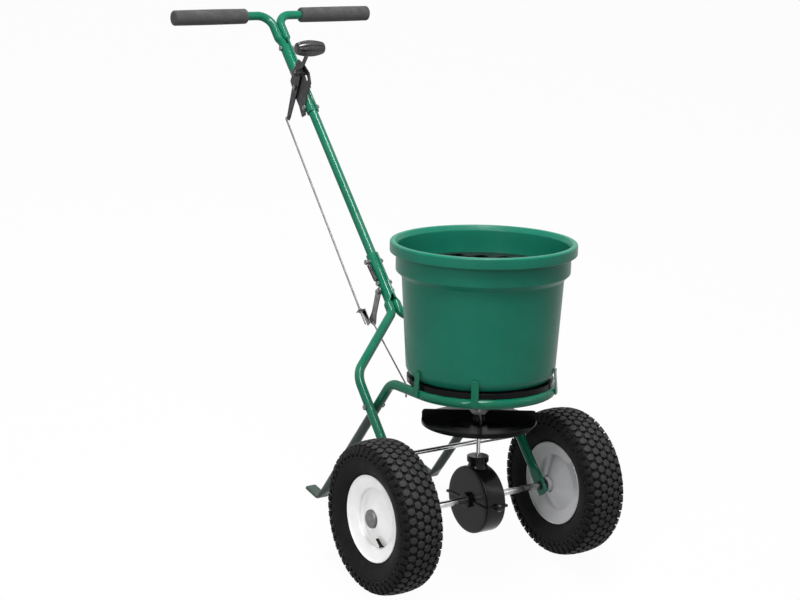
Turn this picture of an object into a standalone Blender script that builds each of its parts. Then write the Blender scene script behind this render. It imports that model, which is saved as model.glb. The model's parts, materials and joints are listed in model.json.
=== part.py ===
"""Push broadcast spreader: green tube frame, bucket hopper, impeller, two pneumatic wheels.

Everything is laid out in the machine frame: origin at the axle's centre, +X to the left wheel, +Y back
towards the handle, +Z up along the impeller shaft. A root empty then leans the machine back on to its feet,
as it stands when parked, and moves the middle of its footprint to the world origin. Units are metres.
"""

from math import acos, atan2, cos, pi, radians, sin, sqrt, tan

import bmesh
import bpy
import numpy as np
from mathutils import Matrix, Vector

# Fits and parking
GAP = 0.0003
RUNNING_GAP = 0.0006
LEAN = radians(12)

# Wheels, seen along the axle
WHEEL_RADIUS = 0.156
WHEEL_TRACK = 0.456
TYRE_WIDTH = 0.094
TYRE_CLEARANCE = 0.0047
TREAD_HEIGHT = 0.0045
SHOULDER_HEIGHT = 0.0028
TREAD_STEPS = 24
TREAD_CENTRE_HALF = 0.008
TREAD_ROW = 0.015
RIM_WIDTH = 0.0644
RIM_WELL_RADIUS = 0.060
RIM_WALL = 0.004
FLANGE_RADIUS = 0.0886
HUB_RADIUS = 0.0165
HUB_LENGTH = 0.080
WEB_WALL = 0.0034
WEB_VALLEY_X = 0.0105
WEB_FACE_RADIUS = 0.0195
WEB_INNER_ROOM = 0.009
WEB_SLIT = 0.0012
VALVE_RADIUS = 0.0036
VALVE_LENGTH = 0.019
VALVE_X = 0.019
VALVE_LEAN = radians(20)
VALVE_TURN = radians(-22)
CAP_RADIUS = 0.019
CAP_HEIGHT = 0.0095
AXLE_RADIUS = 0.007
PIN_RADIUS = 0.002

# Frame tubes
TUBE_RADIUS = 0.010
POST_RADIUS = 0.0105
SADDLE_WALL = 0.0032
SADDLE_HALF_ANGLE = radians(75)
BOLT_RADIUS = 0.003
HEAD_RADIUS = 0.0062
HEAD_HEIGHT = 0.0036

# Ring tube and rear legs
RING_HEIGHT = 0.2393
LEG_BEND_Y = 0.1044
FOOT_BEND_Y = 0.368
FOOT_LENGTH = 0.048
FOOT_WIDTH = 0.028
FOOT_THICKNESS = 0.008

# Handle line: its lower end, slope and the places along it
HANDLE_Y = 0.341
HANDLE_Z = 0.366
HANDLE_SLOPE = radians(48.5)
POST_LOW = -0.008
POST_TOP = 0.663
FRAME_SADDLE_TOP = 0.098
FRAME_SADDLE_LOW = -0.014
GRIP_SADDLE_LOW = 0.477
GRIP_SADDLE_TOP = 0.672
GRIP_LINE = 0.750
GRIP_START = 0.072
GRIP_LENGTH = 0.185
GRIP_RADIUS = 0.018
GRIP_END_WALL = 0.006
HANDLE_BEND = 0.062
SADDLE_TAPER = 0.020

# Lower bends of the frame tubes
FRAME_TOP_BEND = -0.048
FRAME_LOW_BEND_Y = 0.2024
FRAME_LOW_BEND_Z = 0.2388
EAR_RADIUS = 0.016
EAR_THICKNESS = 0.008
EAR_END = 0.0185
EAR_ROUND = 0.002

# Bolts along the handle line
UPPER_GRIP_BOLT = 0.656
LOWER_GRIP_BOLT = 0.491
SPRING_BOLT = 0.081
FRAME_BOLT = 0.0265

# Cross brace
BRACE_Y = 0.078
BRACE_RADIUS = 0.005
BRACE_HEAD_RADIUS = 0.008
BRACE_HEAD_HEIGHT = 0.0022

# Hopper
HOPPER_TOP = 0.5373
RIM_BAND_HEIGHT = 0.0226
RIM_BAND_REACH = 0.0125
COLLAR_STEP = 0.0124
LEDGE_HEIGHT = 0.4655
LEDGE_RISE = 0.012
LEDGE_ROUND = 0.003
BODY_DRAFT = 0.0109
BODY_REACH = 0.0059
BODY_LOW = 0.2807
FLOOR = 0.261
HOPPER_WALL = 0.003
HOPPER_SIDES = 32

# Hopper screen
SCREEN_WALL = 0.003
SCREEN_RIM = 0.010
SCREEN_PITCH = 0.034
SCREEN_BAR = 0.006
SCREEN_LAP = 0.0100

# Hopper straps
STRAP_WIDTH = 0.015
STRAP_WALL = 0.0025
STRAP_DROP = 0.004
STRAP_TOP = 0.287
STRAP_ANGLES = (0, -50, -130, 180)

# Outlets, base plate and shutter
OUTLET_X = 0.032
OUTLET_Y = -0.020
OUTLET_WIDTH = 0.030
OUTLET_DEPTH = 0.026
BASE_RING_LAP = 0.0035
BASE_WALL = 0.011
SHUTTER_WALL = 0.002
SHUTTER_HALF_WIDTH = 0.055
SHUTTER_FRONT = -0.060
SHUTTER_BACK = 0.080
SHUTTER_TRAVEL = 0.0362
RAIL_WEB = 0.0044
RAIL_LIP = 0.010
RAIL_WALL = 0.003
RAIL_FRONT = -0.095
RAIL_END_ROOM = 0.0012
ARM_WIDTH = 0.016
WIRE_FOOT_X = -0.100
WIRE_FOOT_Y = 0.118
WIRE_FOOT_Z = 0.216

# Impeller and its shaft
SHAFT_RADIUS = 0.004
SHAFT_LOW = 0.012
SHAFT_END = 0.009
IMPELLER_RADIUS = 0.1175
IMPELLER_HEIGHT = 0.1635
IMPELLER_WALL = 0.003
IMPELLER_HUB = 0.016
VANE_TOP = 0.188
VANE_WALL = 0.003
VANE_START = 0.014
VANE_ANGLES = (56, 146, 236, 326)
AGITATOR_HEIGHT = 0.276
AGITATOR_LENGTH = 0.070

# Gears and gearbox
PINION_TEETH = 5
CROWN_TEETH = 20
GEAR_PITCH_RADIUS = 0.0392
TOOTH_LENGTH = 0.010
TOOTH_DEPTH = 0.0032
CROWN_WALL = 0.006
MESH_CLEARANCE = 0.0008
CASE_RADIUS = 0.070
CASE_WIDTH = 0.046
CASE_WALL = 0.003
BOSS_RADIUS = 0.016
BOSS_WIDTH = 0.064
NECK_RADIUS = 0.019
NECK_TOP = 0.088
COLLAR_TOP = 0.0916
COLLAR_HEIGHT = 0.012
COLLAR_WALL = 0.003
EAR_REACH = 0.084
EAR_WIDTH = 0.018
CASE_EAR_WALL = 0.004

# Axle bushes
BUSH_WALL = 0.0027
BUSH_FLANGE = 0.014
BUSH_FLANGE_WALL = 0.005

# Control linkage, in the plane of the lever beside the post
PLATE_WALL = 0.0025
LEVER_WALL = 0.003
LEVER_PIVOT = (0.547, 0.0)
LEVER_PIN = (0.513, -0.067)
LEVER_KNEE = (0.560, 0.029)
LEVER_TOP = (0.575, 0.103)
CRANK_PIVOT = (0.008, -0.004)
CRANK_WIRE_HOLE = (-0.034, -0.060)
SPRING_EAR = (0.0115, 0.0065)
KNOB_LENGTH = 0.072
KNOB_RADIUS = 0.0185
KNOB_END_RADIUS = 0.0115
KNOB_RIDGE = 0.0016
STOP_ARC = 0.050
STOP_REST = radians(83)
STOP_TRAVEL = radians(22)
STOP_SLEEVE = 0.0038
STOP_KNOB_RADIUS = 0.0085
STOP_KNOB_LENGTH = 0.024
SLOT_CLEARANCE = 0.0004
GAUGE_OUTLINE = ((0.482, -0.024), (0.477, -0.010), (0.500, 0.012), (0.512, 0.034), (0.517, 0.056), (0.540, 0.066),
                 (0.566, 0.060), (0.590, 0.048), (0.585, 0.020), (0.574, -0.012), (0.545, -0.018), (0.508, -0.018))
ROD_RADIUS = 0.0022
ROD_HOOK = 0.006
ROD_TAIL = -0.032
ROD_TOP_X = -0.028
ROD_LOW_X = -0.036
CLIP_EAR = 0.001
CLIP_WALL = 0.002
CLIP_WIDTH = 0.014
CLIP_PIN_RADIUS = 0.0028
NUT_RADIUS = 0.0045
NUT_HEIGHT = 0.003
WIRE_RADIUS = 0.0017
WIRE_BEND = 0.006
WIRE_TAIL = 0.016
PIVOT_CLEARANCE = 0.0005

# Return spring
SPRING_COIL_RADIUS = 0.0046
SPRING_WIRE_RADIUS = 0.0009
SPRING_CURLS = 13
SPRING_POINTS = 8
SPRING_TAIL = 0.006
SPRING_LOW_TAIL = 0.018

# Places that follow from the sizes above
WHEEL_X = WHEEL_TRACK / 2
SADDLE_OUTER = POST_RADIUS + GAP + SADDLE_WALL
FRAME_X = WHEEL_X - TYRE_WIDTH / 2 - TYRE_CLEARANCE - TUBE_RADIUS
RING_RADIUS = FRAME_X - 2 * TUBE_RADIUS - GAP
BASE_RADIUS = RING_RADIUS + BASE_RING_LAP
BODY_LOW_RADIUS = RING_RADIUS + BODY_REACH
BODY_TOP_RADIUS = BODY_LOW_RADIUS + BODY_DRAFT
COLLAR_RADIUS = BODY_TOP_RADIUS + COLLAR_STEP
RIM_BAND_RADIUS = COLLAR_RADIUS + RIM_BAND_REACH
SHAFT_TOP = AGITATOR_HEIGHT + SHAFT_END
TUBE_SIDE = TUBE_RADIUS + GAP
GAUGE_X = -(SADDLE_OUTER + GAP + PLATE_WALL / 2)
LEVER_X = GAUGE_X - PLATE_WALL / 2 - 0.001 - LEVER_WALL / 2
BOLT_HEAD_X = -(SADDLE_OUTER + GAP)
PIVOT_HEAD_X = LEVER_X - LEVER_WALL / 2 - GAP
CRANK_PIN = (CRANK_PIVOT[0] + LEVER_PIN[0] - LEVER_PIVOT[0], CRANK_PIVOT[1] + LEVER_PIN[1] - LEVER_PIVOT[1])
BASE_TOP = FLOOR - GAP
SHUTTER_TOP = BASE_TOP - BASE_WALL - RUNNING_GAP
PINION_PITCH_RADIUS = GEAR_PITCH_RADIUS * PINION_TEETH / CROWN_TEETH
BUSH_RADIUS = AXLE_RADIUS + GAP + BUSH_WALL
HUB_INNER = FRAME_X + EAR_THICKNESS / 2 + GAP + BUSH_FLANGE_WALL + RUNNING_GAP - WHEEL_X
HUB_OUTER = HUB_INNER + HUB_LENGTH
AXLE_END = WHEEL_X + HUB_OUTER + GAP + CAP_HEIGHT

# Colour, roughness and metallic of each finish
FINISHES = {
    "green_enamel": ((0.004, 0.160, 0.082, 1), 0.25, 0.0),
    "green_plastic": ((0.018, 0.190, 0.115, 1), 0.42, 0.0),
    "white_enamel": ((0.80, 0.80, 0.79, 1), 0.35, 0.0),
    "black_plastic": ((0.012, 0.012, 0.013, 1), 0.40, 0.0),
    "foam": ((0.035, 0.035, 0.037, 1), 0.85, 0.0),
    "rubber": ((0.016, 0.016, 0.016, 1), 0.75, 0.0),
    "zinc": ((0.42, 0.42, 0.43, 1), 0.40, 0.9),
    "bright_steel": ((0.62, 0.62, 0.62, 1), 0.25, 1.0),
    "dark_steel": ((0.05, 0.05, 0.055, 1), 0.45, 0.8),
}


def clear_scene():
    """Remove whatever the opened file holds."""
    for item in list(bpy.data.objects):
        bpy.data.objects.remove(item, do_unlink=True)


def finish_material(name, finish):
    """Make one object's own Principled material."""
    colour, roughness, metallic = FINISHES[finish]
    material = bpy.data.materials.new(name + "_finish")
    material.use_nodes = True
    shader = material.node_tree.nodes["Principled BSDF"]
    shader.inputs["Base Color"].default_value = colour
    shader.inputs["Roughness"].default_value = roughness
    shader.inputs["Metallic"].default_value = metallic
    return material


def add_piece(name, shape, finish, parent, location=(0, 0, 0), turn=(0, 0, 0)):
    """Turn a bmesh into a named object under its parent."""
    bmesh.ops.recalc_face_normals(shape, faces=shape.faces[:])
    mesh = bpy.data.meshes.new(name)
    shape.to_mesh(mesh)
    shape.free()
    mesh.shade_smooth()
    mesh.set_sharp_from_angle(angle=radians(40))
    piece = bpy.data.objects.new(name, mesh)
    bpy.context.collection.objects.link(piece)
    piece.parent = parent
    piece.location = location
    piece.rotation_euler = turn
    if finish:
        mesh.materials.append(finish_material(name, finish))
    else:
        piece.hide_render = True
        piece.display_type = "WIRE"
    return piece


def add_guide(name, shape, parent, location=(0, 0, 0)):
    """Make a hidden shape that cuts or joins others."""
    return add_piece(name, shape, None, parent, location)


def combine(piece, operand, operation):
    """Cut, join or trim a piece with a hidden shape."""
    modifier = piece.modifiers.new(operand.name, "BOOLEAN")
    modifier.object = operand
    modifier.operation = operation


def cut(pieces, operand):
    """Cut the same hidden shape out of several pieces."""
    for piece in pieces:
        combine(piece, operand, "DIFFERENCE")


def add_pivot(name, parent, location):
    """Make the empty that stands on a moving body's joint axis."""
    pivot = bpy.data.objects.new(name, None)
    bpy.context.collection.objects.link(pivot)
    pivot.parent = parent
    pivot.location = location
    return pivot


def lofted(rings):
    """Skin a list of equal rings of points and close both ends."""
    shape = bmesh.new()
    rows = [[shape.verts.new(point) for point in ring] for ring in rings]
    count = len(rows[0])
    for low, high in zip(rows, rows[1:]):
        for index in range(count):
            after = (index + 1) % count
            shape.faces.new((low[index], low[after], high[after], high[index]))
    shape.faces.new(rows[0][::-1])
    shape.faces.new(rows[-1])
    return shape


def turned(profile, steps, axis="Z", closed=True, phase=0.0):
    """Spin a profile of (distance along the axis, radius) points round the axis."""
    shape = bmesh.new()
    points = []
    for along, radius in profile:
        across = (radius * cos(phase), radius * sin(phase))
        place = (along, across[0], across[1]) if axis == "X" else (across[0], across[1], along)
        points.append(shape.verts.new(place))
    pairs = list(zip(points, points[1:]))
    if closed:
        pairs.append((points[-1], points[0]))
    edges = [shape.edges.new(pair) for pair in pairs]
    direction = (1, 0, 0) if axis == "X" else (0, 0, 1)
    bmesh.ops.spin(shape, geom=points + edges, cent=(0, 0, 0), axis=direction, angle=2 * pi,
                   steps=steps, use_merge=True)
    bmesh.ops.remove_doubles(shape, verts=shape.verts[:], dist=1e-6)
    return shape


def block(low, high):
    """Box between two corners."""
    shape = bmesh.new()
    bmesh.ops.create_cube(shape, size=1)
    size = Vector(high) - Vector(low)
    middle = (Vector(high) + Vector(low)) / 2
    bmesh.ops.transform(shape, matrix=Matrix.Translation(middle) @ Matrix.Diagonal((*size, 1)), verts=shape.verts[:])
    return shape


def cylinder_x(start, end, radius, sides, y=0.0, z=0.0):
    """Cylinder parallel to X."""
    angles = [2 * pi * (index + 0.5) / sides for index in range(sides)]
    return lofted([[(x, y + radius * cos(a), z + radius * sin(a)) for a in angles] for x in (start, end)])


def cylinder_z(low, high, radius, sides, x=0.0, y=0.0):
    """Cylinder parallel to Z."""
    angles = [2 * pi * (index + 0.5) / sides for index in range(sides)]
    return lofted([[(x + radius * cos(a), y + radius * sin(a), z) for a in angles] for z in (low, high)])


def handle_point(x, along, out=0.0):
    """Point at a distance along the handle line and out from it, square to it."""
    y = HANDLE_Y + along * cos(HANDLE_SLOPE) - out * sin(HANDLE_SLOPE)
    z = HANDLE_Z + along * sin(HANDLE_SLOPE) + out * cos(HANDLE_SLOPE)
    return Vector((x, y, z))


def rounded_path(corners, bends, step=radians(18)):
    """Polyline through the corners with an arc of the given radius at each inner corner."""
    path = [Vector(corners[0])]
    for before, corner, after, bend in zip(corners, corners[1:], corners[2:], bends):
        corner = Vector(corner)
        back = (Vector(before) - corner).normalized()
        ahead = (Vector(after) - corner).normalized()
        turn = pi - acos(max(-1.0, min(1.0, back.dot(ahead))))
        if bend == 0 or turn < 1e-4:
            path.append(corner)
            continue
        reach = bend * tan(turn / 2)
        centre = corner + (back + ahead).normalized() * (bend / cos(turn / 2))
        first = corner + back * reach - centre
        side = first.normalized()
        forward = -back
        count = max(2, int(round(turn / step)))
        for index in range(count + 1):
            angle = turn * index / count
            path.append(centre + (side * cos(angle) + forward * sin(angle)) * bend)
    path.append(Vector(corners[-1]))
    return path


def carried_frames(path, start_side, fixed=False):
    """Side and upright directions at each point of a path, carried along it without twist."""
    tangents = []
    for index in range(len(path)):
        ahead = path[min(index + 1, len(path) - 1)] - path[index]
        behind = path[index] - path[max(index - 1, 0)]
        tangents.append((ahead.normalized() + behind.normalized()).normalized())
    frames = []
    side = Vector(start_side)
    for tangent in tangents:
        source = Vector(start_side) if fixed else side
        side = (source - tangent * source.dot(tangent)).normalized()
        frames.append((side, tangent.cross(side)))
    return frames


def swept(path, sections, start_side=(1, 0, 0), fixed=False):
    """Carry one section, a list of (side, upright) points, to each point of the path."""
    frames = carried_frames(path, start_side, fixed)
    rings = []
    for point, (side, upright), section in zip(path, frames, sections):
        rings.append([point + side * u + upright * v for u, v in section])
    return lofted(rings)


def round_section(radius, sides=12, start=-pi / 2):
    """Circle of points."""
    return [(radius * cos(start + 2 * pi * i / sides), radius * sin(start + 2 * pi * i / sides)) for i in range(sides)]


def flat_section(half_side, half_upright, flat="upright", sides=12):
    """Flattened tube end: a circle pressed flat on two faces."""
    points = []
    for u, v in round_section(1.0, sides):
        if flat == "upright":
            points.append((half_side * u, max(-1.0, min(1.0, 1.7 * v)) * half_upright))
        else:
            points.append((max(-1.0, min(1.0, 1.7 * u)) * half_side, half_upright * v))
    return points


def blended(first, second, share):
    """Section part of the way between two others."""
    return [((1 - share) * a + share * c, (1 - share) * b + share * d) for (a, b), (c, d) in zip(first, second)]


def saddle_section(side_sign, centre_x):
    """Crescent that hugs the post, seen from a point beside the post's axis."""
    step = SADDLE_HALF_ANGLE / 3
    inner = (POST_RADIUS + GAP) / cos(step / 2)
    angles = [-SADDLE_HALF_ANGLE + step * index for index in range(7)]
    outer_arc = [(SADDLE_OUTER * cos(a), SADDLE_OUTER * sin(a)) for a in angles]
    inner_arc = [(inner * cos(a), inner * sin(a)) for a in reversed(angles[1:-1])]
    points = outer_arc + inner_arc
    if side_sign < 0:
        points = [(-u, v) for u, v in points]
        points = points[:1] + points[:0:-1]
    return [(u - centre_x, v) for u, v in points]


def drilled(parent, name, pieces, x_low, x_high, place, radius, sides=12):
    """Drill a hole parallel to X through several pieces."""
    guide = add_guide(name, cylinder_x(x_low, x_high, radius, sides, place.y, place.z), parent)
    cut(pieces, guide)


def cross_bolt(parent, name, place, head_x, nut_x, finish="zinc", radius=BOLT_RADIUS, collar=None):
    """Hexagon bolt parallel to X, with its head at head_x and its nut face at nut_x."""
    tail = 0.003
    sections = [(head_x - HEAD_HEIGHT, HEAD_RADIUS), (head_x, HEAD_RADIUS), (head_x, radius)]
    if collar:
        sections += [(collar[0], radius), (collar[0], collar[2]), (collar[1], collar[2]), (collar[1], radius)]
    sections += [(nut_x, radius), (nut_x, HEAD_RADIUS), (nut_x + HEAD_HEIGHT, HEAD_RADIUS),
                 (nut_x + HEAD_HEIGHT, radius), (nut_x + HEAD_HEIGHT + tail, radius)]
    rings = []
    for x, size in sections:
        rings.append([(x, place.y + size * cos(pi * i / 3), place.z + size * sin(pi * i / 3)) for i in range(6)])
    return add_piece(name, lofted(rings), finish, parent)


def plate_outline(points, thickness, x):
    """Flat plate beside the handle, from its outline in (along, out)."""
    rings = []
    for face in (x - thickness / 2, x + thickness / 2):
        rings.append([handle_point(face, along, out) for along, out in points])
    return lofted(rings)


def strip_outline(centres, half_widths):
    """Outline of a tapered flat bar from its centre line and half widths."""
    left, right = [], []
    last = len(centres) - 1
    for index, (centre, half) in enumerate(zip(centres, half_widths)):
        ahead = Vector(centres[min(index + 1, last)]) - Vector(centres[max(index - 1, 0)])
        ahead.normalize()
        normal = Vector((-ahead.y, ahead.x))
        middle = Vector(centre)
        left.append(tuple(middle + normal * half))
        right.append(tuple(middle - normal * half))
    return left + right[::-1]


def polygon_radius(radius, sides):
    """Corner radius of a polygon whose flats lie at the given radius."""
    return radius / cos(pi / sides)


def make_post(root):
    """Main handle tube."""
    path = [handle_point(0, POST_LOW), handle_point(0, POST_TOP)]
    section = round_section(POST_RADIUS, 16)
    return add_piece("handle_post", swept(path, [section, section]), "green_enamel", root)


def make_frame_tube(root, name, sign):
    """Side tube: a saddle on the post, two bends and a flattened ear on the axle."""
    middle = sign * (POST_RADIUS + GAP + SADDLE_WALL / 2)
    top = [handle_point(middle, FRAME_SADDLE_TOP), handle_point(middle, FRAME_SADDLE_LOW)]
    ear_centre = Vector((sign * FRAME_X, 0, 0))
    low_bend = Vector((sign * FRAME_X, FRAME_LOW_BEND_Y, FRAME_LOW_BEND_Z))
    slope = (low_bend - ear_centre).normalized()
    corners = [handle_point(sign * TUBE_SIDE, FRAME_SADDLE_LOW - SADDLE_TAPER),
               handle_point(sign * TUBE_SIDE, FRAME_TOP_BEND), low_bend, ear_centre + slope * 3.2 * EAR_RADIUS]
    bends = rounded_path(corners, [0.045, 0.060])
    ear = [ear_centre + slope * 1.6 * EAR_RADIUS, ear_centre - slope * (EAR_END - EAR_ROUND),
           ear_centre - slope * EAR_END]
    saddle = saddle_section(sign, middle)
    tube = round_section(TUBE_RADIUS)
    flat = flat_section(EAR_THICKNESS / 2, EAR_RADIUS, "side")
    tip = flat_section(EAR_THICKNESS / 2, EAR_RADIUS - EAR_ROUND, "side")
    sections = [saddle, saddle] + [tube] * len(bends) + [flat, flat, tip]
    shape = swept(top + bends + ear, sections, fixed=True)
    return add_piece(name, shape, "green_enamel", root)


def foot_height(y):
    """Machine-frame height of a foot's middle that stands on the ground when parked."""
    return (FOOT_THICKNESS / 2 - WHEEL_RADIUS + y * sin(LEAN)) / cos(LEAN)


def make_ring_stand(root):
    """Hopper ring, rear legs and flattened feet, bent from one tube."""
    ankle = Vector((RING_RADIUS, FOOT_BEND_Y, foot_height(FOOT_BEND_Y)))
    toe = ankle + Vector((0, cos(LEAN), sin(LEAN))) * FOOT_LENGTH
    knee = Vector((RING_RADIUS, LEG_BEND_Y, RING_HEIGHT))
    up = (knee - ankle).normalized()
    shin = [ankle + up * 0.012, ankle + up * 0.045]
    run_end = Vector((RING_RADIUS, 0, RING_HEIGHT))
    half = [toe, ankle + (toe - ankle).normalized() * 0.006] + shin[:1]
    half += rounded_path([shin[1], knee, run_end], [0.045])
    steps = 16
    arc = []
    for index in range(1, steps):
        angle = -pi * index / steps
        arc.append(Vector((RING_RADIUS * cos(angle), RING_RADIUS * sin(angle), RING_HEIGHT)))
    mirrored = [Vector((-point.x, point.y, point.z)) for point in reversed(half)]
    path = half + arc + mirrored
    tube = round_section(TUBE_RADIUS)
    flat = flat_section(FOOT_WIDTH / 2, FOOT_THICKNESS / 2)
    sections = [flat, flat, blended(flat, tube, 0.35)] + [tube] * (len(path) - 6)
    sections += [blended(flat, tube, 0.35), flat, flat]
    return add_piece("ring_stand", swept(path, sections), "green_enamel", root)


def make_handlebar(root, name, sign):
    """Handlebar tube: a saddle on the post's top, then a bend out to the grip."""
    middle = sign * (POST_RADIUS + GAP + SADDLE_WALL / 2)
    saddle_path = [handle_point(middle, GRIP_SADDLE_LOW), handle_point(middle, GRIP_SADDLE_TOP)]
    grip_end = GRIP_START + GRIP_LENGTH - GRIP_END_WALL - GAP
    corners = [handle_point(sign * TUBE_SIDE, GRIP_SADDLE_TOP + SADDLE_TAPER * 0.6),
               handle_point(sign * TUBE_SIDE, GRIP_LINE), handle_point(sign * grip_end, GRIP_LINE)]
    bend_room = GRIP_LINE - GRIP_SADDLE_TOP - SADDLE_TAPER * 0.6
    tube_path = rounded_path(corners, [min(HANDLE_BEND, bend_room * 0.98)])
    saddle = saddle_section(sign, middle)
    sections = [saddle, saddle] + [round_section(TUBE_RADIUS)] * len(tube_path)
    return add_piece(name, swept(saddle_path + tube_path, sections), "green_enamel", root)


def make_grip(root, name, sign):
    """Foam sleeve with a closed outer end."""
    start = GRIP_START
    end = GRIP_START + GRIP_LENGTH
    bore = polygon_radius(TUBE_RADIUS + GAP, 16)
    edge = 0.0025
    floor = end - GRIP_END_WALL
    profile = [(start, bore), (start, GRIP_RADIUS - edge), (start + edge, GRIP_RADIUS), (end - edge, GRIP_RADIUS),
               (end, GRIP_RADIUS - edge), (end, 0), (floor, 0), (floor, bore)]
    shape = turned([(sign * along, radius) for along, radius in profile], 16, "X")
    return add_piece(name, shape, "foam", root, handle_point(0, GRIP_LINE))


def make_brace(root):
    """Bright rod that spaces the frame tubes, riveted over outside them."""
    slope = FRAME_LOW_BEND_Z / FRAME_LOW_BEND_Y
    outer = FRAME_X + TUBE_RADIUS + GAP
    inner = FRAME_X - TUBE_RADIUS - GAP
    sections = [(-outer - BRACE_HEAD_HEIGHT, BRACE_HEAD_RADIUS), (-outer, BRACE_HEAD_RADIUS), (-outer, BOLT_RADIUS),
                (-inner, BOLT_RADIUS), (-inner, BRACE_RADIUS), (inner, BRACE_RADIUS), (inner, BOLT_RADIUS),
                (outer, BOLT_RADIUS), (outer, BRACE_HEAD_RADIUS), (outer + BRACE_HEAD_HEIGHT, BRACE_HEAD_RADIUS)]
    rings = [[(x, r * cos(pi * i / 6), r * sin(pi * i / 6)) for i in range(12)] for x, r in sections]
    return add_piece("cross_brace", lofted(rings), "bright_steel", root, (0, BRACE_Y, BRACE_Y * slope))


def make_hopper(root):
    """Stepped bucket with a rolled rim and two outlets in its floor."""
    wall = HOPPER_WALL
    band_low = HOPPER_TOP - RIM_BAND_HEIGHT
    ledge_top = LEDGE_HEIGHT + LEDGE_RISE
    shaft_hole = SHAFT_RADIUS + 0.002
    outside = [(FLOOR, shaft_hole), (FLOOR, BODY_LOW_RADIUS - 0.014), (FLOOR + 0.006, BODY_LOW_RADIUS - 0.004),
               (BODY_LOW, BODY_LOW_RADIUS), (LEDGE_HEIGHT, BODY_TOP_RADIUS), (ledge_top, COLLAR_RADIUS),
               (band_low, COLLAR_RADIUS), (band_low, RIM_BAND_RADIUS), (HOPPER_TOP - 0.003, RIM_BAND_RADIUS),
               (HOPPER_TOP, RIM_BAND_RADIUS - 0.003)]
    inside = [(HOPPER_TOP, COLLAR_RADIUS + 0.004), (HOPPER_TOP - 0.003, COLLAR_RADIUS + 0.001),
              (HOPPER_TOP - 0.010, COLLAR_RADIUS - wall), (ledge_top + wall, COLLAR_RADIUS - wall),
              (LEDGE_HEIGHT + wall + LEDGE_ROUND, BODY_TOP_RADIUS - wall), (BODY_LOW + wall, BODY_LOW_RADIUS - wall),
              (FLOOR + 0.009, BODY_LOW_RADIUS - wall - 0.005), (FLOOR + wall, BODY_LOW_RADIUS - 0.018),
              (FLOOR + wall, shaft_hole)]
    hopper = add_piece("hopper", turned(outside + inside, HOPPER_SIDES, phase=-pi / 2), "green_plastic", root)
    for name, guide in outlet_guides(root, "hopper", FLOOR - 0.002, FLOOR + wall + 0.002, 0):
        combine(hopper, guide, "DIFFERENCE")
    return hopper


def outlet_guides(root, name, low, high, shift):
    """Pair of hidden blocks the size of the outlets."""
    guides = []
    for side in (-1, 1):
        centre = side * OUTLET_X
        shape = block((centre - OUTLET_WIDTH / 2, OUTLET_Y - OUTLET_DEPTH / 2 + shift, low),
                      (centre + OUTLET_WIDTH / 2, OUTLET_Y + OUTLET_DEPTH / 2 + shift, high))
        label = "left" if side > 0 else "right"
        guides.append((label, add_guide("guide_%s_outlet_%s" % (name, label), shape, root)))
    return guides


def make_screen(parent):
    """Lift-out sieve plate that rests on the hopper's inner step."""
    radius = BODY_TOP_RADIUS - HOPPER_WALL + SCREEN_LAP
    slope = (LEDGE_RISE - LEDGE_ROUND) / (COLLAR_RADIUS - BODY_TOP_RADIUS)
    low = LEDGE_HEIGHT + HOPPER_WALL + LEDGE_ROUND + slope * SCREEN_LAP + GAP * 1.5
    rays = [2 * pi * index / HOPPER_SIDES - pi / 2 for index in range(HOPPER_SIDES)]
    rings = [[(radius * cos(ray), radius * sin(ray), z) for ray in rays] for z in (low, low + SCREEN_WALL)]
    screen = add_piece("hopper_screen", lofted(rings), "black_plastic", parent)
    holes = bmesh.new()
    half = (SCREEN_PITCH - SCREEN_BAR) / 2
    reach = int(radius // SCREEN_PITCH) + 1
    for column in range(-reach, reach + 1):
        for row in range(-reach, reach + 1):
            centre = Vector((column * SCREEN_PITCH, row * SCREEN_PITCH, low + SCREEN_WALL / 2))
            corner = sqrt((abs(centre.x) + half) ** 2 + (abs(centre.y) + half) ** 2)
            if corner > radius - SCREEN_RIM:
                continue
            size = Matrix.Diagonal((2 * half, 2 * half, 3 * SCREEN_WALL, 1))
            bmesh.ops.create_cube(holes, size=1, matrix=Matrix.Translation(centre) @ size)
    combine(screen, add_guide("guide_screen_holes", holes, parent), "DIFFERENCE")
    return screen


def make_strap(root, name, angle):
    """Bent strap from the ring tube up to the hopper's wall."""
    ring_side = RING_RADIUS + TUBE_RADIUS + GAP + STRAP_WALL / 2
    draft = (BODY_TOP_RADIUS - BODY_LOW_RADIUS) / (LEDGE_HEIGHT - BODY_LOW)
    wall_low = BODY_LOW_RADIUS + GAP + STRAP_WALL / 2 + 0.0008
    wall_top = wall_low + draft * (STRAP_TOP - BODY_LOW)
    profile = [(ring_side, RING_HEIGHT - STRAP_DROP), (ring_side, RING_HEIGHT + STRAP_DROP),
               (wall_low, BODY_LOW - STRAP_WALL), (wall_top, STRAP_TOP)]
    half_wall = STRAP_WALL / 2
    half_width = STRAP_WIDTH / 2
    rings = []
    for radius, height in profile:
        rings.append([(radius + a * half_wall, b * half_width, height) for a, b in ((-1, -1), (1, -1), (1, 1), (-1, 1))])
    return add_piece(name, lofted(rings), "green_enamel", root, turn=(0, 0, radians(angle)))


def shutter_arm():
    """Where the shutter's arm starts, seen from above, and its direction towards the wire."""
    start = Vector((-SHUTTER_HALF_WIDTH + ARM_WIDTH * 0.8, SHUTTER_BACK - ARM_WIDTH))
    return start, (Vector((WIRE_FOOT_X, WIRE_FOOT_Y)) - start).normalized()


def rail_back(inside):
    """Rear end of the rails, just ahead of the arm when the shutter is full forward."""
    start, direction = shutter_arm()
    edge = start + Vector((-direction.y, direction.x)) * (ARM_WIDTH / 2)
    reach = (-inside - edge.x) / direction.x
    return edge.y + reach * direction.y - SHUTTER_TRAVEL - RAIL_END_ROOM


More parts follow.
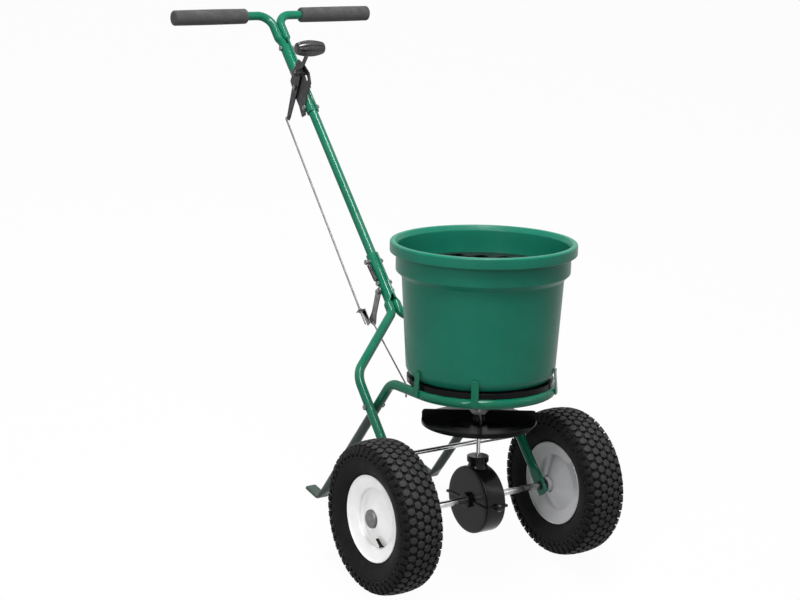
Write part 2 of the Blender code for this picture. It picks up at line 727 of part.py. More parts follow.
def make_base_plate(root):
    """Black plate between the ring and the hopper's floor, with the lipped rails that hold the shutter."""
    low = BASE_TOP - BASE_WALL
    hole = SHAFT_RADIUS + 0.001
    profile = [(low, hole), (low, BASE_RADIUS), (BASE_TOP, BASE_RADIUS), (BASE_TOP, hole)]
    plate = add_piece("base_plate", turned(profile, 28), "black_plastic", root)
    shutter_low = SHUTTER_TOP - SHUTTER_WALL
    web = SHUTTER_HALF_WIDTH + RUNNING_GAP
    lip_top = shutter_low - RUNNING_GAP
    lip_low = lip_top - RAIL_WALL
    outer = web + RAIL_WEB
    for side, label in ((-1, "right"), (1, "left")):
        outline = [(outer, low + 0.001), (outer, lip_low), (web - RAIL_LIP, lip_low), (web - RAIL_LIP, lip_top),
                   (web, lip_top), (web, low + 0.001)]
        rings = [[(side * x, y, z) for x, z in outline] for y in (RAIL_FRONT, rail_back(web - RAIL_LIP))]
        combine(plate, add_guide("guide_rail_" + label, lofted(rings), root), "UNION")
    for _, guide in outlet_guides(root, "base", low - 0.002, BASE_TOP + 0.002, 0):
        combine(plate, guide, "DIFFERENCE")
    return plate


def make_shutter(parent):
    """Sliding plate with two windows, a slot round the shaft and the arm that the wire moves."""
    low = SHUTTER_TOP - SHUTTER_WALL
    half = SHUTTER_HALF_WIDTH
    plate = add_piece("shutter", block((-half, SHUTTER_FRONT, low), (half, SHUTTER_BACK, SHUTTER_TOP)), "zinc", parent)
    for _, guide in outlet_guides(parent, "shutter", low - 0.002, SHUTTER_TOP + 0.002, 0):
        combine(plate, guide, "DIFFERENCE")
    slot_half = SHAFT_RADIUS + 0.003
    slot = block((-slot_half, -slot_half, low - 0.002),
                 (slot_half, SHUTTER_TRAVEL + slot_half, SHUTTER_TOP + 0.002))
    combine(plate, add_guide("guide_shaft_slot", slot, parent), "DIFFERENCE")
    middle = low + SHUTTER_WALL / 2
    foot = Vector((WIRE_FOOT_X, WIRE_FOOT_Y, WIRE_FOOT_Z))
    start, heading = shutter_arm()
    root_point = start.to_3d() + Vector((0, 0, middle))
    direction = heading.to_3d()
    drop = foot - direction * 0.014
    path = [root_point, Vector((drop.x, drop.y, middle)), drop, foot + direction * 0.009]
    across = Vector((-direction.y, direction.x, 0))
    wall = SHUTTER_WALL * 0.4
    corner = direction * wall
    lift = Vector((0, 0, wall))
    offsets = [(lift, -lift), (lift + corner, -lift - corner), (lift + corner, -lift - corner), (lift, -lift)]
    rings = []
    for point, (outer, inner) in zip(path, offsets):
        width = across * (ARM_WIDTH / 2)
        rings.append([point + outer + width, point + outer - width, point + inner - width, point + inner + width])
    combine(plate, add_guide("guide_shutter_arm", lofted(rings), parent), "UNION")
    drill = cylinder_z(-0.006, 0.006, WIRE_RADIUS + PIVOT_CLEARANCE * 2, 12)
    combine(plate, add_guide("guide_wire_hole", drill, parent, foot), "DIFFERENCE")
    return plate


def make_tyre(parent, name):
    """Open-bottomed tyre section with raised studs in staggered rows."""
    half = TYRE_WIDTH / 2 - SHOULDER_HEIGHT
    bead = RIM_WIDTH / 2
    base = WHEEL_RADIUS / cos(pi / TREAD_STEPS) - TREAD_HEIGHT
    floor = RIM_WELL_RADIUS + RIM_WALL + GAP * 1.2
    outer = [(bead - 0.0117, floor), (bead - 0.0052, FLANGE_RADIUS - 0.0016), (half - 0.005, FLANGE_RADIUS + 0.0134),
             (half, FLANGE_RADIUS + 0.0334), (TREAD_CENTRE_HALF + 2 * TREAD_ROW, base - 0.006),
             (TREAD_CENTRE_HALF + TREAD_ROW, base - 0.0015), (TREAD_CENTRE_HALF, base)]
    inner = [(half - 0.017, base - 0.014), (half - 0.007, FLANGE_RADIUS + 0.0214), (bead - 0.0172, floor)]
    left = [(-x, r) for x, r in outer]
    profile = left + outer[::-1] + inner[::-1] + [(-x, r) for x, r in inner]
    start = pi / TREAD_STEPS - pi / 2
    shape = turned(profile, TREAD_STEPS, "X", phase=start)
    rows = sorted([x for x, _ in outer[3:]] + [-x for x, _ in outer[3:]])
    studs = []
    for face in shape.faces:
        centre = face.calc_center_median()
        radius = sqrt(centre.y ** 2 + centre.z ** 2)
        if radius < FLANGE_RADIUS + 0.036 or face.normal.dot(Vector((0, centre.y, centre.z))) == 0:
            continue
        if radius < base - 0.012 and abs(centre.x) < half - 0.012:
            continue
        row = sum(1 for x in rows if centre.x > x)
        turn = atan2(centre.z, centre.y) - start
        column = int((turn % (2 * pi)) / (2 * pi / TREAD_STEPS))
        if (row + column) % 2 == 0 and radius > base - 0.020:
            studs.append(face)
    bmesh.ops.recalc_face_normals(shape, faces=shape.faces[:])
    for face in studs:
        height = TREAD_HEIGHT if abs(face.calc_center_median().x) < half - 0.012 else SHOULDER_HEIGHT
        bmesh.ops.inset_individual(shape, faces=[face], thickness=0.0022, depth=height)
    return add_piece(name, shape, "rubber", parent, turn=(LEAN, 0, 0))


def make_rim(parent, name, sign):
    """Pressed steel rim: hub tube between two cones, well and flanges; a slit opens the inner cone at the hub."""
    edge = RIM_WIDTH / 2
    well = RIM_WELL_RADIUS
    bore = polygon_radius(AXLE_RADIUS + GAP, TREAD_STEPS)
    web = WEB_WALL
    inner_end = HUB_INNER + WEB_INNER_ROOM
    right = [(HUB_OUTER, bore), (HUB_OUTER, WEB_FACE_RADIUS), (WEB_VALLEY_X, well + 0.0015),
             (edge - 0.0082, well), (edge, FLANGE_RADIUS), (edge - 0.0030, FLANGE_RADIUS),
             (edge - 0.0107, well + RIM_WALL)]
    left = [(-(edge - 0.0107), well + RIM_WALL), (-(edge - 0.0030), FLANGE_RADIUS), (-edge, FLANGE_RADIUS),
            (-(edge - 0.0082), well), (inner_end, HUB_RADIUS + WEB_SLIT), (inner_end + web, HUB_RADIUS + WEB_SLIT),
            (web - (edge - 0.0082), well - 0.0005), (WEB_VALLEY_X - web, well - 0.0005),
            (HUB_OUTER - web, HUB_RADIUS), (HUB_INNER, HUB_RADIUS), (HUB_INNER, bore)]
    start = pi / TREAD_STEPS - pi / 2
    shape = turned([(sign * x, r) for x, r in right + left], TREAD_STEPS, "X", phase=start)
    return add_piece(name, shape, "white_enamel", parent, turn=(LEAN, 0, 0))


def make_hub_cap(parent, name, sign):
    """Domed cap on the hub's outer end, with the axle's end showing in it."""
    bore = polygon_radius(AXLE_RADIUS + GAP, 16)
    face = HUB_OUTER + GAP
    profile = [(face, bore), (face, CAP_RADIUS), (face + CAP_HEIGHT * 0.45, CAP_RADIUS * 0.95),
               (face + CAP_HEIGHT * 0.85, CAP_RADIUS * 0.66), (face + CAP_HEIGHT, bore + 0.001), (face + CAP_HEIGHT, bore)]
    return add_piece(name, turned([(sign * x, r) for x, r in profile], 16, "X"), "zinc", parent)


def make_valve(parent, name, sign):
    """Rubber valve stem that stands in from the rim's well and leans out along the web."""
    seat = RIM_WELL_RADIUS * cos(pi / TREAD_STEPS) - GAP
    outer = sqrt(seat ** 2 - (VALVE_RADIUS * 1.5) ** 2)
    rays = [2 * pi * index / 10 for index in range(10)]
    rings = []
    for rise, radius in ((0, VALVE_RADIUS * 1.5), (0.003, VALVE_RADIUS), (VALVE_LENGTH, VALVE_RADIUS * 0.8)):
        middle = sign * rise * tan(VALVE_LEAN)
        rings.append([(middle + radius * cos(ray), radius * sin(ray), rise - outer) for ray in rays])
    return add_piece(name, lofted(rings), "rubber", parent, (sign * VALVE_X, 0, 0), (VALVE_TURN, 0, 0))


def make_wheel(parent, label, sign):
    """Tyre, rim, cap and valve of one wheel, round its own hub."""
    rim = make_rim(parent, "rim_" + label, sign)
    tyre = make_tyre(parent, "tyre_" + label)
    cap = make_hub_cap(parent, "hub_cap_" + label, sign)
    valve = make_valve(parent, "valve_stem_" + label, sign)
    for piece in (rim, tyre, cap, valve):
        piece.location.x += sign * WHEEL_X
    return rim


def make_axle(parent, rim):
    """Axle rod, and the pin that makes the right wheel drive it."""
    profile = [(-AXLE_END, 0), (-AXLE_END, AXLE_RADIUS), (AXLE_END, AXLE_RADIUS), (AXLE_END, 0)]
    axle = add_piece("axle", turned(profile, 16, "X"), "bright_steel", parent)
    pin_x = -(WHEEL_X + HUB_INNER + WEB_INNER_ROOM / 2)
    length = HUB_RADIUS + 0.002
    pin_profile = [(-length, 0), (-length, PIN_RADIUS), (length, PIN_RADIUS), (length, 0)]
    add_piece("drive_pin", turned(pin_profile, 10), "bright_steel", parent, (pin_x, 0, 0))
    hole = PIN_RADIUS + GAP * 1.5
    drill = cylinder_z(-length - 0.002, length + 0.002, hole, 10)
    cut([axle, rim], add_guide("guide_drive_pin", drill, parent, (pin_x, 0, 0)))


def make_crown_gear(parent):
    """Face gear on the axle, with teeth that stand towards the pinion."""
    steps = 2 * CROWN_TEETH
    inner = GEAR_PITCH_RADIUS - TOOTH_LENGTH / 2
    outer = GEAR_PITCH_RADIUS + TOOTH_LENGTH / 2
    bore = polygon_radius(AXLE_RADIUS + GAP, steps)
    tip = PINION_PITCH_RADIUS - TOOTH_DEPTH / 2 + MESH_CLEARANCE
    face = tip + TOOTH_DEPTH
    back = face + CROWN_WALL
    profile = [(face, bore), (face, inner), (face, outer), (back, outer), (back, bore)]
    pitch_angle = 2 * pi / CROWN_TEETH
    tooth_share = 0.36
    widths = [pitch_angle * (1 - tooth_share), pitch_angle * tooth_share]
    angle = pi / 2 + pitch_angle * (1 - tooth_share) / 2
    rays = []
    for index in range(steps):
        rays.append(angle)
        angle += widths[(index + 1) % 2]
    shape = bmesh.new()
    rows = [[shape.verts.new((x, r * cos(ray), r * sin(ray))) for x, r in profile] for ray in rays]
    count = len(profile)
    teeth = []
    for index in range(steps):
        row, after = rows[index], rows[(index + 1) % steps]
        for point in range(count):
            following = (point + 1) % count
            quad = shape.faces.new((row[point], row[following], after[following], after[point]))
            if point == 1 and index % 2 == 0:
                teeth.append(quad)
    bmesh.ops.recalc_face_normals(shape, faces=shape.faces[:])
    raised = bmesh.ops.extrude_discrete_faces(shape, faces=teeth)["faces"]
    for quad in raised:
        bmesh.ops.translate(shape, vec=(-TOOTH_DEPTH, 0, 0), verts=quad.verts[:])
    return add_piece("crown_gear", shape, "zinc", parent)


def make_pinion(parent):
    """Small gear on the impeller shaft."""
    root_radius = PINION_PITCH_RADIUS - TOOTH_DEPTH / 2
    tip_radius = PINION_PITCH_RADIUS + TOOTH_DEPTH / 2
    pitch_angle = 2 * pi / PINION_TEETH
    outline = []
    for tooth in range(PINION_TEETH):
        middle = tooth * pitch_angle
        for share, radius in ((-0.5, root_radius), (-0.22, root_radius), (-0.13, tip_radius),
                              (0.13, tip_radius), (0.22, root_radius)):
            ray = middle + share * pitch_angle
            outline.append((radius * cos(ray), radius * sin(ray)))
    low = GEAR_PITCH_RADIUS - TOOTH_LENGTH / 2
    high = GEAR_PITCH_RADIUS + TOOTH_LENGTH / 2
    pinion = add_piece("pinion", lofted([[(x, y, z) for x, y in outline] for z in (low, high)]), "zinc", parent)
    bore = polygon_radius(SHAFT_RADIUS + GAP, 12)
    drill = cylinder_z(low - 0.002, high + 0.002, bore, 12)
    combine(pinion, add_guide("guide_pinion_bore", drill, parent), "DIFFERENCE")
    return pinion


def make_shaft(parent):
    """Vertical shaft with the agitator pin through its top."""
    profile = [(SHAFT_LOW, 0), (SHAFT_LOW, SHAFT_RADIUS), (SHAFT_TOP, SHAFT_RADIUS), (SHAFT_TOP, 0)]
    shaft = add_piece("impeller_shaft", turned(profile, 12), "bright_steel", parent)
    hole = PIN_RADIUS + GAP
    half = AGITATOR_LENGTH / 2
    drill = cylinder_x(-half, half, hole, 10, 0, AGITATOR_HEIGHT)
    combine(shaft, add_guide("guide_agitator", drill, parent), "DIFFERENCE")
    add_piece("agitator_pin", cylinder_x(-half, half, PIN_RADIUS, 10, 0, AGITATOR_HEIGHT), "bright_steel", parent)
    return shaft


def make_impeller(parent):
    """Spreading disc with a hub, a turned-down rim and upright vanes."""
    low = IMPELLER_HEIGHT
    high = low + IMPELLER_WALL
    bore = polygon_radius(SHAFT_RADIUS + GAP, 28)
    profile = [(low - 0.006, bore), (low - 0.006, IMPELLER_HUB), (low, IMPELLER_HUB), (low, IMPELLER_RADIUS - 0.003),
               (low - 0.003, IMPELLER_RADIUS - 0.002), (low - 0.003, IMPELLER_RADIUS), (high, IMPELLER_RADIUS),
               (high, IMPELLER_HUB), (high + 0.014, IMPELLER_HUB - 0.002), (high + 0.014, bore)]
    impeller = add_piece("impeller", turned(profile, 28), "black_plastic", parent)
    end = IMPELLER_RADIUS - 0.001
    outline = [(VANE_START, high - 0.001), (end, high - 0.001), (end, VANE_TOP - 0.006), (end - 0.006, VANE_TOP),
               (VANE_START + 0.006, VANE_TOP), (VANE_START, VANE_TOP - 0.008)]
    for index, angle in enumerate(VANE_ANGLES):
        rings = [[(x, side * VANE_WALL / 2, z) for x, z in outline] for side in (-1, 1)]
        shape = lofted(rings)
        bmesh.ops.rotate(shape, cent=(0, 0, 0), matrix=Matrix.Rotation(radians(angle), 3, "Z"), verts=shape.verts[:])
        combine(impeller, add_guide("guide_vane_%d" % (index + 1), shape, parent), "UNION")
    return impeller


def make_gearbox_half(root, name, upper):
    """One half of the gear case, parted level with the axle."""
    sign = 1 if upper else -1
    half_width = CASE_WIDTH / 2
    shell = turned([(-half_width, 0), (-half_width, CASE_RADIUS - 0.003), (-half_width + 0.003, CASE_RADIUS),
                    (half_width - 0.003, CASE_RADIUS), (half_width, CASE_RADIUS - 0.003), (half_width, 0)], 28, "X")
    case = add_piece(name, shell, "black_plastic", root)
    boss = cylinder_x(-BOSS_WIDTH / 2, BOSS_WIDTH / 2, BOSS_RADIUS, 16)
    combine(case, add_guide("guide_%s_boss" % name, boss, root), "UNION")
    ear_low, ear_high = (-0.001, CASE_EAR_WALL) if upper else (-CASE_EAR_WALL, 0.001)
    ears = block((-EAR_WIDTH / 2, -EAR_REACH, ear_low), (EAR_WIDTH / 2, EAR_REACH, ear_high))
    combine(case, add_guide("guide_%s_ears" % name, ears, root), "UNION")
    if upper:
        start = CASE_RADIUS - CASE_WALL * 2
        neck = cylinder_z(start, NECK_TOP, NECK_RADIUS, 20)
        combine(case, add_guide("guide_neck", neck, root), "UNION")
    inner = half_width - CASE_WALL
    hollow = cylinder_x(-inner, inner, CASE_RADIUS - CASE_WALL, 28)
    combine(case, add_guide("guide_%s_hollow" % name, hollow, root), "DIFFERENCE")
    bore = cylinder_x(-BOSS_WIDTH, BOSS_WIDTH, polygon_radius(AXLE_RADIUS + GAP, 16), 16)
    combine(case, add_guide("guide_%s_bore" % name, bore, root), "DIFFERENCE")
    if upper:
        hole = polygon_radius(SHAFT_RADIUS + GAP, 12)
        shaft_bore = cylinder_z(0.02, NECK_TOP + 0.01, hole, 12)
        combine(case, add_guide("guide_neck_bore", shaft_bore, root), "DIFFERENCE")
    other = EAR_REACH + NECK_TOP
    parting = GAP / 2
    waste = block((-other, -other, -other if upper else -parting), (other, other, parting if upper else other))
    combine(case, add_guide("guide_%s_parting" % name, waste, root), "DIFFERENCE")
    return case


def make_gearbox(root):
    """Two case halves, their screws and the collar on the neck."""
    halves = [make_gearbox_half(root, "gearbox_upper", True), make_gearbox_half(root, "gearbox_lower", False)]
    screw_y = (EAR_REACH + CASE_RADIUS) / 2 - 0.0005
    top = CASE_EAR_WALL + GAP
    for side, label in ((-1, "front"), (1, "rear")):
        profile = [(top + 0.003, 0), (top + 0.003, 0.0048), (top, 0.0048), (top, 0.002), (-top - 0.004, 0.002),
                   (-top - 0.004, 0)]
        add_piece("gearbox_screw_" + label, turned(profile, 8), "zinc", root, (0, side * screw_y, 0))
        drill = cylinder_z(-0.02, 0.02, 0.002 + GAP * 1.3, 8)
        cut(halves, add_guide("guide_screw_" + label, drill, root, (0, side * screw_y, 0)))
    inner = polygon_radius(NECK_RADIUS + GAP, 20)
    bore = polygon_radius(SHAFT_RADIUS + RUNNING_GAP, 20)
    under = NECK_TOP + GAP
    profile = [(COLLAR_TOP - COLLAR_HEIGHT, inner), (COLLAR_TOP - COLLAR_HEIGHT, inner + COLLAR_WALL),
               (COLLAR_TOP - 0.002, inner + COLLAR_WALL), (COLLAR_TOP, inner + COLLAR_WALL - 0.003),
               (COLLAR_TOP, bore), (under, bore), (under, inner)]
    add_piece("gearbox_collar", turned(profile, 20), "black_plastic", root)


def make_bush(root, name, sign):
    """Flanged black bush that carries the axle in a frame tube's ear."""
    bore = polygon_radius(AXLE_RADIUS + GAP, 16)
    inner = FRAME_X - EAR_THICKNESS / 2 - 0.003
    face = FRAME_X + EAR_THICKNESS / 2 + GAP
    outer = face + BUSH_FLANGE_WALL
    profile = [(inner, bore), (inner, BUSH_RADIUS), (face, BUSH_RADIUS), (face, BUSH_FLANGE),
               (outer, BUSH_FLANGE), (outer, bore)]
    return add_piece(name, turned([(sign * x, r) for x, r in profile], 16, "X"), "black_plastic", root)


def make_gauge(root):
    """Slotted gauge plate beside the post."""
    plate = add_piece("gauge_plate", plate_outline(GAUGE_OUTLINE, PLATE_WALL, GAUGE_X), "zinc", root)
    half = STOP_SLEEVE + SLOT_CLEARANCE
    steps = 6
    start = STOP_REST
    outer, inner = [], []
    for index in range(steps + 1):
        ray = start + STOP_TRAVEL * index / steps
        outer.append(((STOP_ARC + half) * cos(ray), (STOP_ARC + half) * sin(ray)))
        inner.append(((STOP_ARC - half) * cos(ray), (STOP_ARC - half) * sin(ray)))
    ends = []
    for ray, swing in ((start + STOP_TRAVEL, 1), (start, -1)):
        centre = (STOP_ARC * cos(ray), STOP_ARC * sin(ray))
        arc = []
        for index in range(1, 4):
            angle = ray + swing * pi * index / 4 if swing > 0 else ray + pi - swing * pi * index / 4
            arc.append((centre[0] + half * cos(angle), centre[1] + half * sin(angle)))
        ends.append(arc)
    slot = outer + ends[0] + inner[::-1] + ends[1]
    points = [(LEVER_PIVOT[0] + a, LEVER_PIVOT[1] + b) for a, b in slot]
    guide = add_guide("guide_gauge_slot", plate_outline(points, PLATE_WALL * 3, GAUGE_X), root)
    combine(plate, guide, "DIFFERENCE")
    return plate


def make_rate_stop(parent):
    """Black thumb screw clamped in the gauge plate's slot."""
    back = -(GAUGE_X + PLATE_WALL / 2) - GAP
    front = -LEVER_X + LEVER_WALL / 2 + 0.0012
    profile = [(-(back - 0.003), 0), (-(back - 0.003), 0.007), (-back, 0.007), (-back, STOP_SLEEVE),
               (-front, STOP_SLEEVE), (-front, STOP_KNOB_RADIUS), (-(front + STOP_KNOB_LENGTH), STOP_KNOB_RADIUS),
               (-(front + STOP_KNOB_LENGTH), 0)]
    place = handle_point(0, LEVER_PIVOT[0] + STOP_ARC * cos(STOP_REST), LEVER_PIVOT[1] + STOP_ARC * sin(STOP_REST))
    pivot = handle_point(0, *LEVER_PIVOT)
    return add_piece("rate_stop", turned(profile, 16, "X"), "black_plastic", parent, place - pivot)


def beside(piece, pivot_place):
    """Move a piece that was drawn in the machine frame under the empty at its pivot."""
    piece.location = Vector(piece.location) - pivot_place
    return piece


def make_lever(parent, pivot_place):
    """Flat control lever and its ridged knob."""
    foot = Vector(LEVER_PIN) + (Vector(LEVER_PIN) - Vector(LEVER_PIVOT)).normalized() * 0.007
    stem_end = Vector(LEVER_TOP)
    stem = (stem_end - Vector(LEVER_KNEE)).normalized()
    centres = [tuple(foot), LEVER_PIN, LEVER_PIVOT, LEVER_KNEE, tuple(Vector(LEVER_KNEE) + stem * 0.016), tuple(stem_end)]
    outline = strip_outline(centres, [0.004, 0.0062, 0.0115, 0.0095, 0.0052, 0.0052])
    lever = add_piece("control_lever", plate_outline(outline, LEVER_WALL, LEVER_X), "zinc", parent)
    beside(lever, pivot_place)
    for name, place, radius in (("pivot", LEVER_PIVOT, BOLT_RADIUS), ("pin", LEVER_PIN, ROD_RADIUS)):
        point = handle_point(0, *place)
        hole = cylinder_x(LEVER_X - 0.005, LEVER_X + 0.005, radius + PIVOT_CLEARANCE, 12, point.y, point.z)
        guide = beside(add_guide("guide_lever_" + name, hole, parent), pivot_place)
        combine(lever, guide, "DIFFERENCE")
    half = KNOB_LENGTH / 2
    centre = handle_point(LEVER_X, *(Vector(LEVER_TOP) + stem * (KNOB_RADIUS * 0.25)))
    profile = [(-half, 0), (-half, KNOB_END_RADIUS - 0.003), (-half + 0.005, KNOB_END_RADIUS), (0, KNOB_RADIUS),
               (half - 0.005, KNOB_END_RADIUS), (half, KNOB_END_RADIUS - 0.003), (half, 0)]
    shape = turned(profile, 24, "X")
    for vertex in shape.verts:
        radius = sqrt(vertex.co.y ** 2 + vertex.co.z ** 2)
        column = int(round(atan2(vertex.co.z, vertex.co.y) / (2 * pi / 24)))
        if radius > KNOB_END_RADIUS - 0.001 and column % 2:
            vertex.co.y *= (radius - KNOB_RIDGE) / radius
            vertex.co.z *= (radius - KNOB_RIDGE) / radius
    knob = add_piece("lever_knob", shape, "black_plastic", parent, centre - pivot_place)
    slot_outline = strip_outline([tuple(stem_end - stem * 0.05), tuple(stem_end + stem * GAP)], [0.0052 + GAP] * 2)
    slot = plate_outline(slot_outline, LEVER_WALL + 2 * GAP, LEVER_X)
    combine(knob, beside(add_guide("guide_knob_slot", slot, parent), pivot_place), "DIFFERENCE")
    return lever


def make_control_rod(parent, pin_place):
    """Long rod from the lever to the crank, hooked at the top and nutted to its clip."""
    hook_in = LEVER_X + LEVER_WALL / 2 + 0.0015
    out_top = LEVER_PIN[1]
    out_low = CRANK_PIN[1]
    span = LEVER_PIN[0] - ROD_TAIL

    def on_rod(along):
        share = (LEVER_PIN[0] - along) / span
        return handle_point(ROD_TOP_X + share * (ROD_LOW_X - ROD_TOP_X), along, out_top + share * (out_low - out_top))

    path = rounded_path([handle_point(hook_in, *LEVER_PIN), handle_point(ROD_TOP_X, *LEVER_PIN), on_rod(ROD_TAIL)],
                        [ROD_HOOK])
    thin = round_section(ROD_RADIUS, 8)
    nut = round_section(NUT_RADIUS, 8)
    sections = [thin] * (len(path) - 1)
    path = path[:-1]
    ear_top = CLIP_EAR + CLIP_WALL + GAP * 1.4
    ear_low = CLIP_EAR - GAP * 1.4
    for along, section in ((ear_top + NUT_HEIGHT, thin), (ear_top + NUT_HEIGHT, nut), (ear_top, nut), (ear_top, thin),
                           (ear_low, thin), (ear_low, nut), (ear_low - NUT_HEIGHT, nut), (ear_low - NUT_HEIGHT, thin),
                           (ROD_TAIL, thin)):
        path.append(on_rod(along))
        sections.append(section)
    rings = []
    direction = (on_rod(ROD_TAIL) - on_rod(LEVER_PIN[0])).normalized()
    frames = carried_frames(path[:-9] + [on_rod(0.1), on_rod(0.0)], (0, cos(HANDLE_SLOPE), sin(HANDLE_SLOPE)))
    side, upright = frames[-1]
    frames = frames[:-2] + [(side, direction.cross(side))] * 9
    for point, (u_axis, v_axis), section in zip(path, frames, sections):
        rings.append([point + u_axis * u + v_axis * v for u, v in section])
    return beside(add_piece("control_rod", lofted(rings), "bright_steel", parent), pin_place)


def handle_block(low, high):
    """Box with its sides along X, along the handle line and out from it."""
    corners = []
    for along in (low[1], high[1]):
        corners.append([handle_point(low[0], along, low[2]), handle_point(high[0], along, low[2]),
                        handle_point(high[0], along, high[2]), handle_point(low[0], along, high[2])])
    return lofted(corners)


def make_rod_clip(parent, pin_place):
    """Folded clip: one ear on the rod, one leg with the pin that turns in the crank."""
    out = CRANK_PIN[1]
    half = CLIP_WIDTH / 2
    leg_x = PIVOT_HEAD_X - 0.0045
    leg = handle_block((leg_x - CLIP_WALL, CRANK_PIN[0] - half, out - half), (leg_x, CLIP_EAR + CLIP_WALL, out + half))
    clip = add_piece("rod_clip", leg, "zinc", parent)
    beside(clip, pin_place)
    ear = handle_block((ROD_LOW_X - 0.0065, CLIP_EAR, out - half + 0.0005),
                       (leg_x - CLIP_WALL / 2, CLIP_EAR + CLIP_WALL - 0.0002, out + half - 0.0005))
    combine(clip, beside(add_guide("guide_clip_ear", ear, parent), pin_place), "UNION")
    point = handle_point(0, *CRANK_PIN)
    pin = cylinder_x(leg_x - CLIP_WALL / 2, LEVER_X + LEVER_WALL / 2 + 0.0012, CLIP_PIN_RADIUS, 12, point.y, point.z)
    combine(clip, beside(add_guide("guide_clip_pin", pin, parent), pin_place), "UNION")
    share = (LEVER_PIN[0] - CLIP_EAR) / (LEVER_PIN[0] - ROD_TAIL)
    rod_x = ROD_TOP_X + share * (ROD_LOW_X - ROD_TOP_X)
    rod_out = LEVER_PIN[1] + share * (CRANK_PIN[1] - LEVER_PIN[1])
    hole_half = ROD_RADIUS + 0.0009
    hole = handle_block((rod_x - hole_half, CLIP_EAR - 0.003, rod_out - hole_half),
                        (rod_x + hole_half, CLIP_EAR + CLIP_WALL + 0.003, rod_out + hole_half))
    combine(clip, beside(add_guide("guide_clip_hole", hole, parent), pin_place), "DIFFERENCE")
    return clip


def make_crank(parent, pivot_place):
    """Crank plate that hands the rod's pull to the shutter wire."""
    arm = Vector(CRANK_PIN) + (Vector(CRANK_WIRE_HOLE) - Vector(CRANK_PIN)) * 0.5
    end = arm + (arm - Vector(CRANK_PIVOT)).normalized() * 0.006
    neck = Vector(CRANK_PIVOT).lerp(arm, 0.7)
    centres = [SPRING_EAR, CRANK_PIVOT, tuple(neck), tuple(arm), tuple(end)]
    outline = strip_outline(centres, [0.004, 0.0085, 0.0078, 0.0125, 0.009])
    crank = add_piece("crank", plate_outline(outline, LEVER_WALL, LEVER_X), "zinc", parent)
    beside(crank, pivot_place)
    holes = (("pivot", CRANK_PIVOT, BOLT_RADIUS), ("pin", CRANK_PIN, CLIP_PIN_RADIUS),
             ("wire", CRANK_WIRE_HOLE, WIRE_RADIUS))
    for name, place, radius in holes:
        point = handle_point(0, *place)
        hole = cylinder_x(LEVER_X - 0.005, LEVER_X + 0.005, radius + PIVOT_CLEARANCE, 12, point.y, point.z)
        combine(crank, beside(add_guide("guide_crank_" + name, hole, parent), pivot_place), "DIFFERENCE")
    return crank


def make_wire(parent, hole_place):
    """Thin wire from the crank down to the shutter's arm, bent at both ends."""
    start = handle_point(LEVER_X + LEVER_WALL / 2 + 0.0015, *CRANK_WIRE_HOLE)
    beside_crank = handle_point(LEVER_X - LEVER_WALL / 2 - WIRE_RADIUS - 0.0012, *CRANK_WIRE_HOLE)
    foot_top = Vector((WIRE_FOOT_X, WIRE_FOOT_Y, WIRE_FOOT_Z + 0.010))
    foot = foot_top - Vector((0, 0, 0.010 + WIRE_TAIL))
    path = rounded_path([start, beside_crank, foot_top, foot], [0.003, WIRE_BEND], radians(22))
    shape = swept(path, [round_section(WIRE_RADIUS, 8)] * len(path), (0, 0, 1))
    return beside(add_piece("shutter_wire", shape, "bright_steel", parent), hole_place)


def spring_path():
    """Points of the return spring: straight tail, open helix, straight tail."""
    start = handle_point(LEVER_X, SPRING_BOLT - BOLT_RADIUS - GAP, 0.002)
    end = handle_point(LEVER_X, SPRING_EAR[0] + 0.0075, SPRING_EAR[1] - 0.0005)
    axis = (end - start).normalized()
    side = Vector((1, 0, 0))
    upright = axis.cross(side)
    coil_start = start + axis * SPRING_TAIL
    coil_end = end - axis * SPRING_LOW_TAIL
    total = SPRING_CURLS * SPRING_POINTS
    points = [start, start + axis * (SPRING_TAIL * 0.55)]
    for index in range(total + 1):
        share = index / total
        grow = min(1.0, index / 5, (total - index) / 5)
        angle = 2 * pi * SPRING_CURLS * share
        centre = coil_start.lerp(coil_end, share)
        points.append(centre + (side * cos(angle) + upright * sin(angle)) * SPRING_COIL_RADIUS * grow)
    points += [end - axis * (SPRING_LOW_TAIL * 0.5), end]
    return points


def make_spring(root):
    """Return spring as one unbroken wire."""
    points = spring_path()
    curve = bpy.data.curves.new("return_spring", "CURVE")
    curve.dimensions = "3D"
    curve.bevel_depth = SPRING_WIRE_RADIUS
    curve.bevel_resolution = 1
    curve.use_fill_caps = True
    spline = curve.splines.new("POLY")
    spline.points.add(len(points) - 1)
    for place, point in zip(spline.points, points):
        place.co = (point.x, point.y, point.z, 1)
    spring = bpy.data.objects.new("return_spring", curve)
    bpy.context.collection.objects.link(spring)
    spring.parent = root
    curve.materials.append(finish_material("return_spring", "dark_steel"))
    coords = np.array([tuple(point) for point in points])
    apart = np.linalg.norm(coords[:, None, :] - coords[None, :, :], axis=2)
    index = np.arange(len(coords))
    far = np.abs(index[:, None] - index[None, :]) > SPRING_POINTS // 2
    print("return_spring least gap to itself, mm:", round(1000 * (apart[far].min() - 2 * SPRING_WIRE_RADIUS), 2))
    return spring


def leg_crossing():
    """Where the rear leg crosses the frame tube, seen from the side."""
    leg_top = Vector((LEG_BEND_Y, RING_HEIGHT))
    leg_low = Vector((FOOT_BEND_Y, foot_height(FOOT_BEND_Y)))
    slope = (leg_low.y - leg_top.y) / (leg_low.x - leg_top.x)
    tube_slope = FRAME_LOW_BEND_Z / FRAME_LOW_BEND_Y
    y = (leg_top.y - slope * leg_top.x) / (tube_slope - slope)
    return Vector((0, y, tube_slope * y))


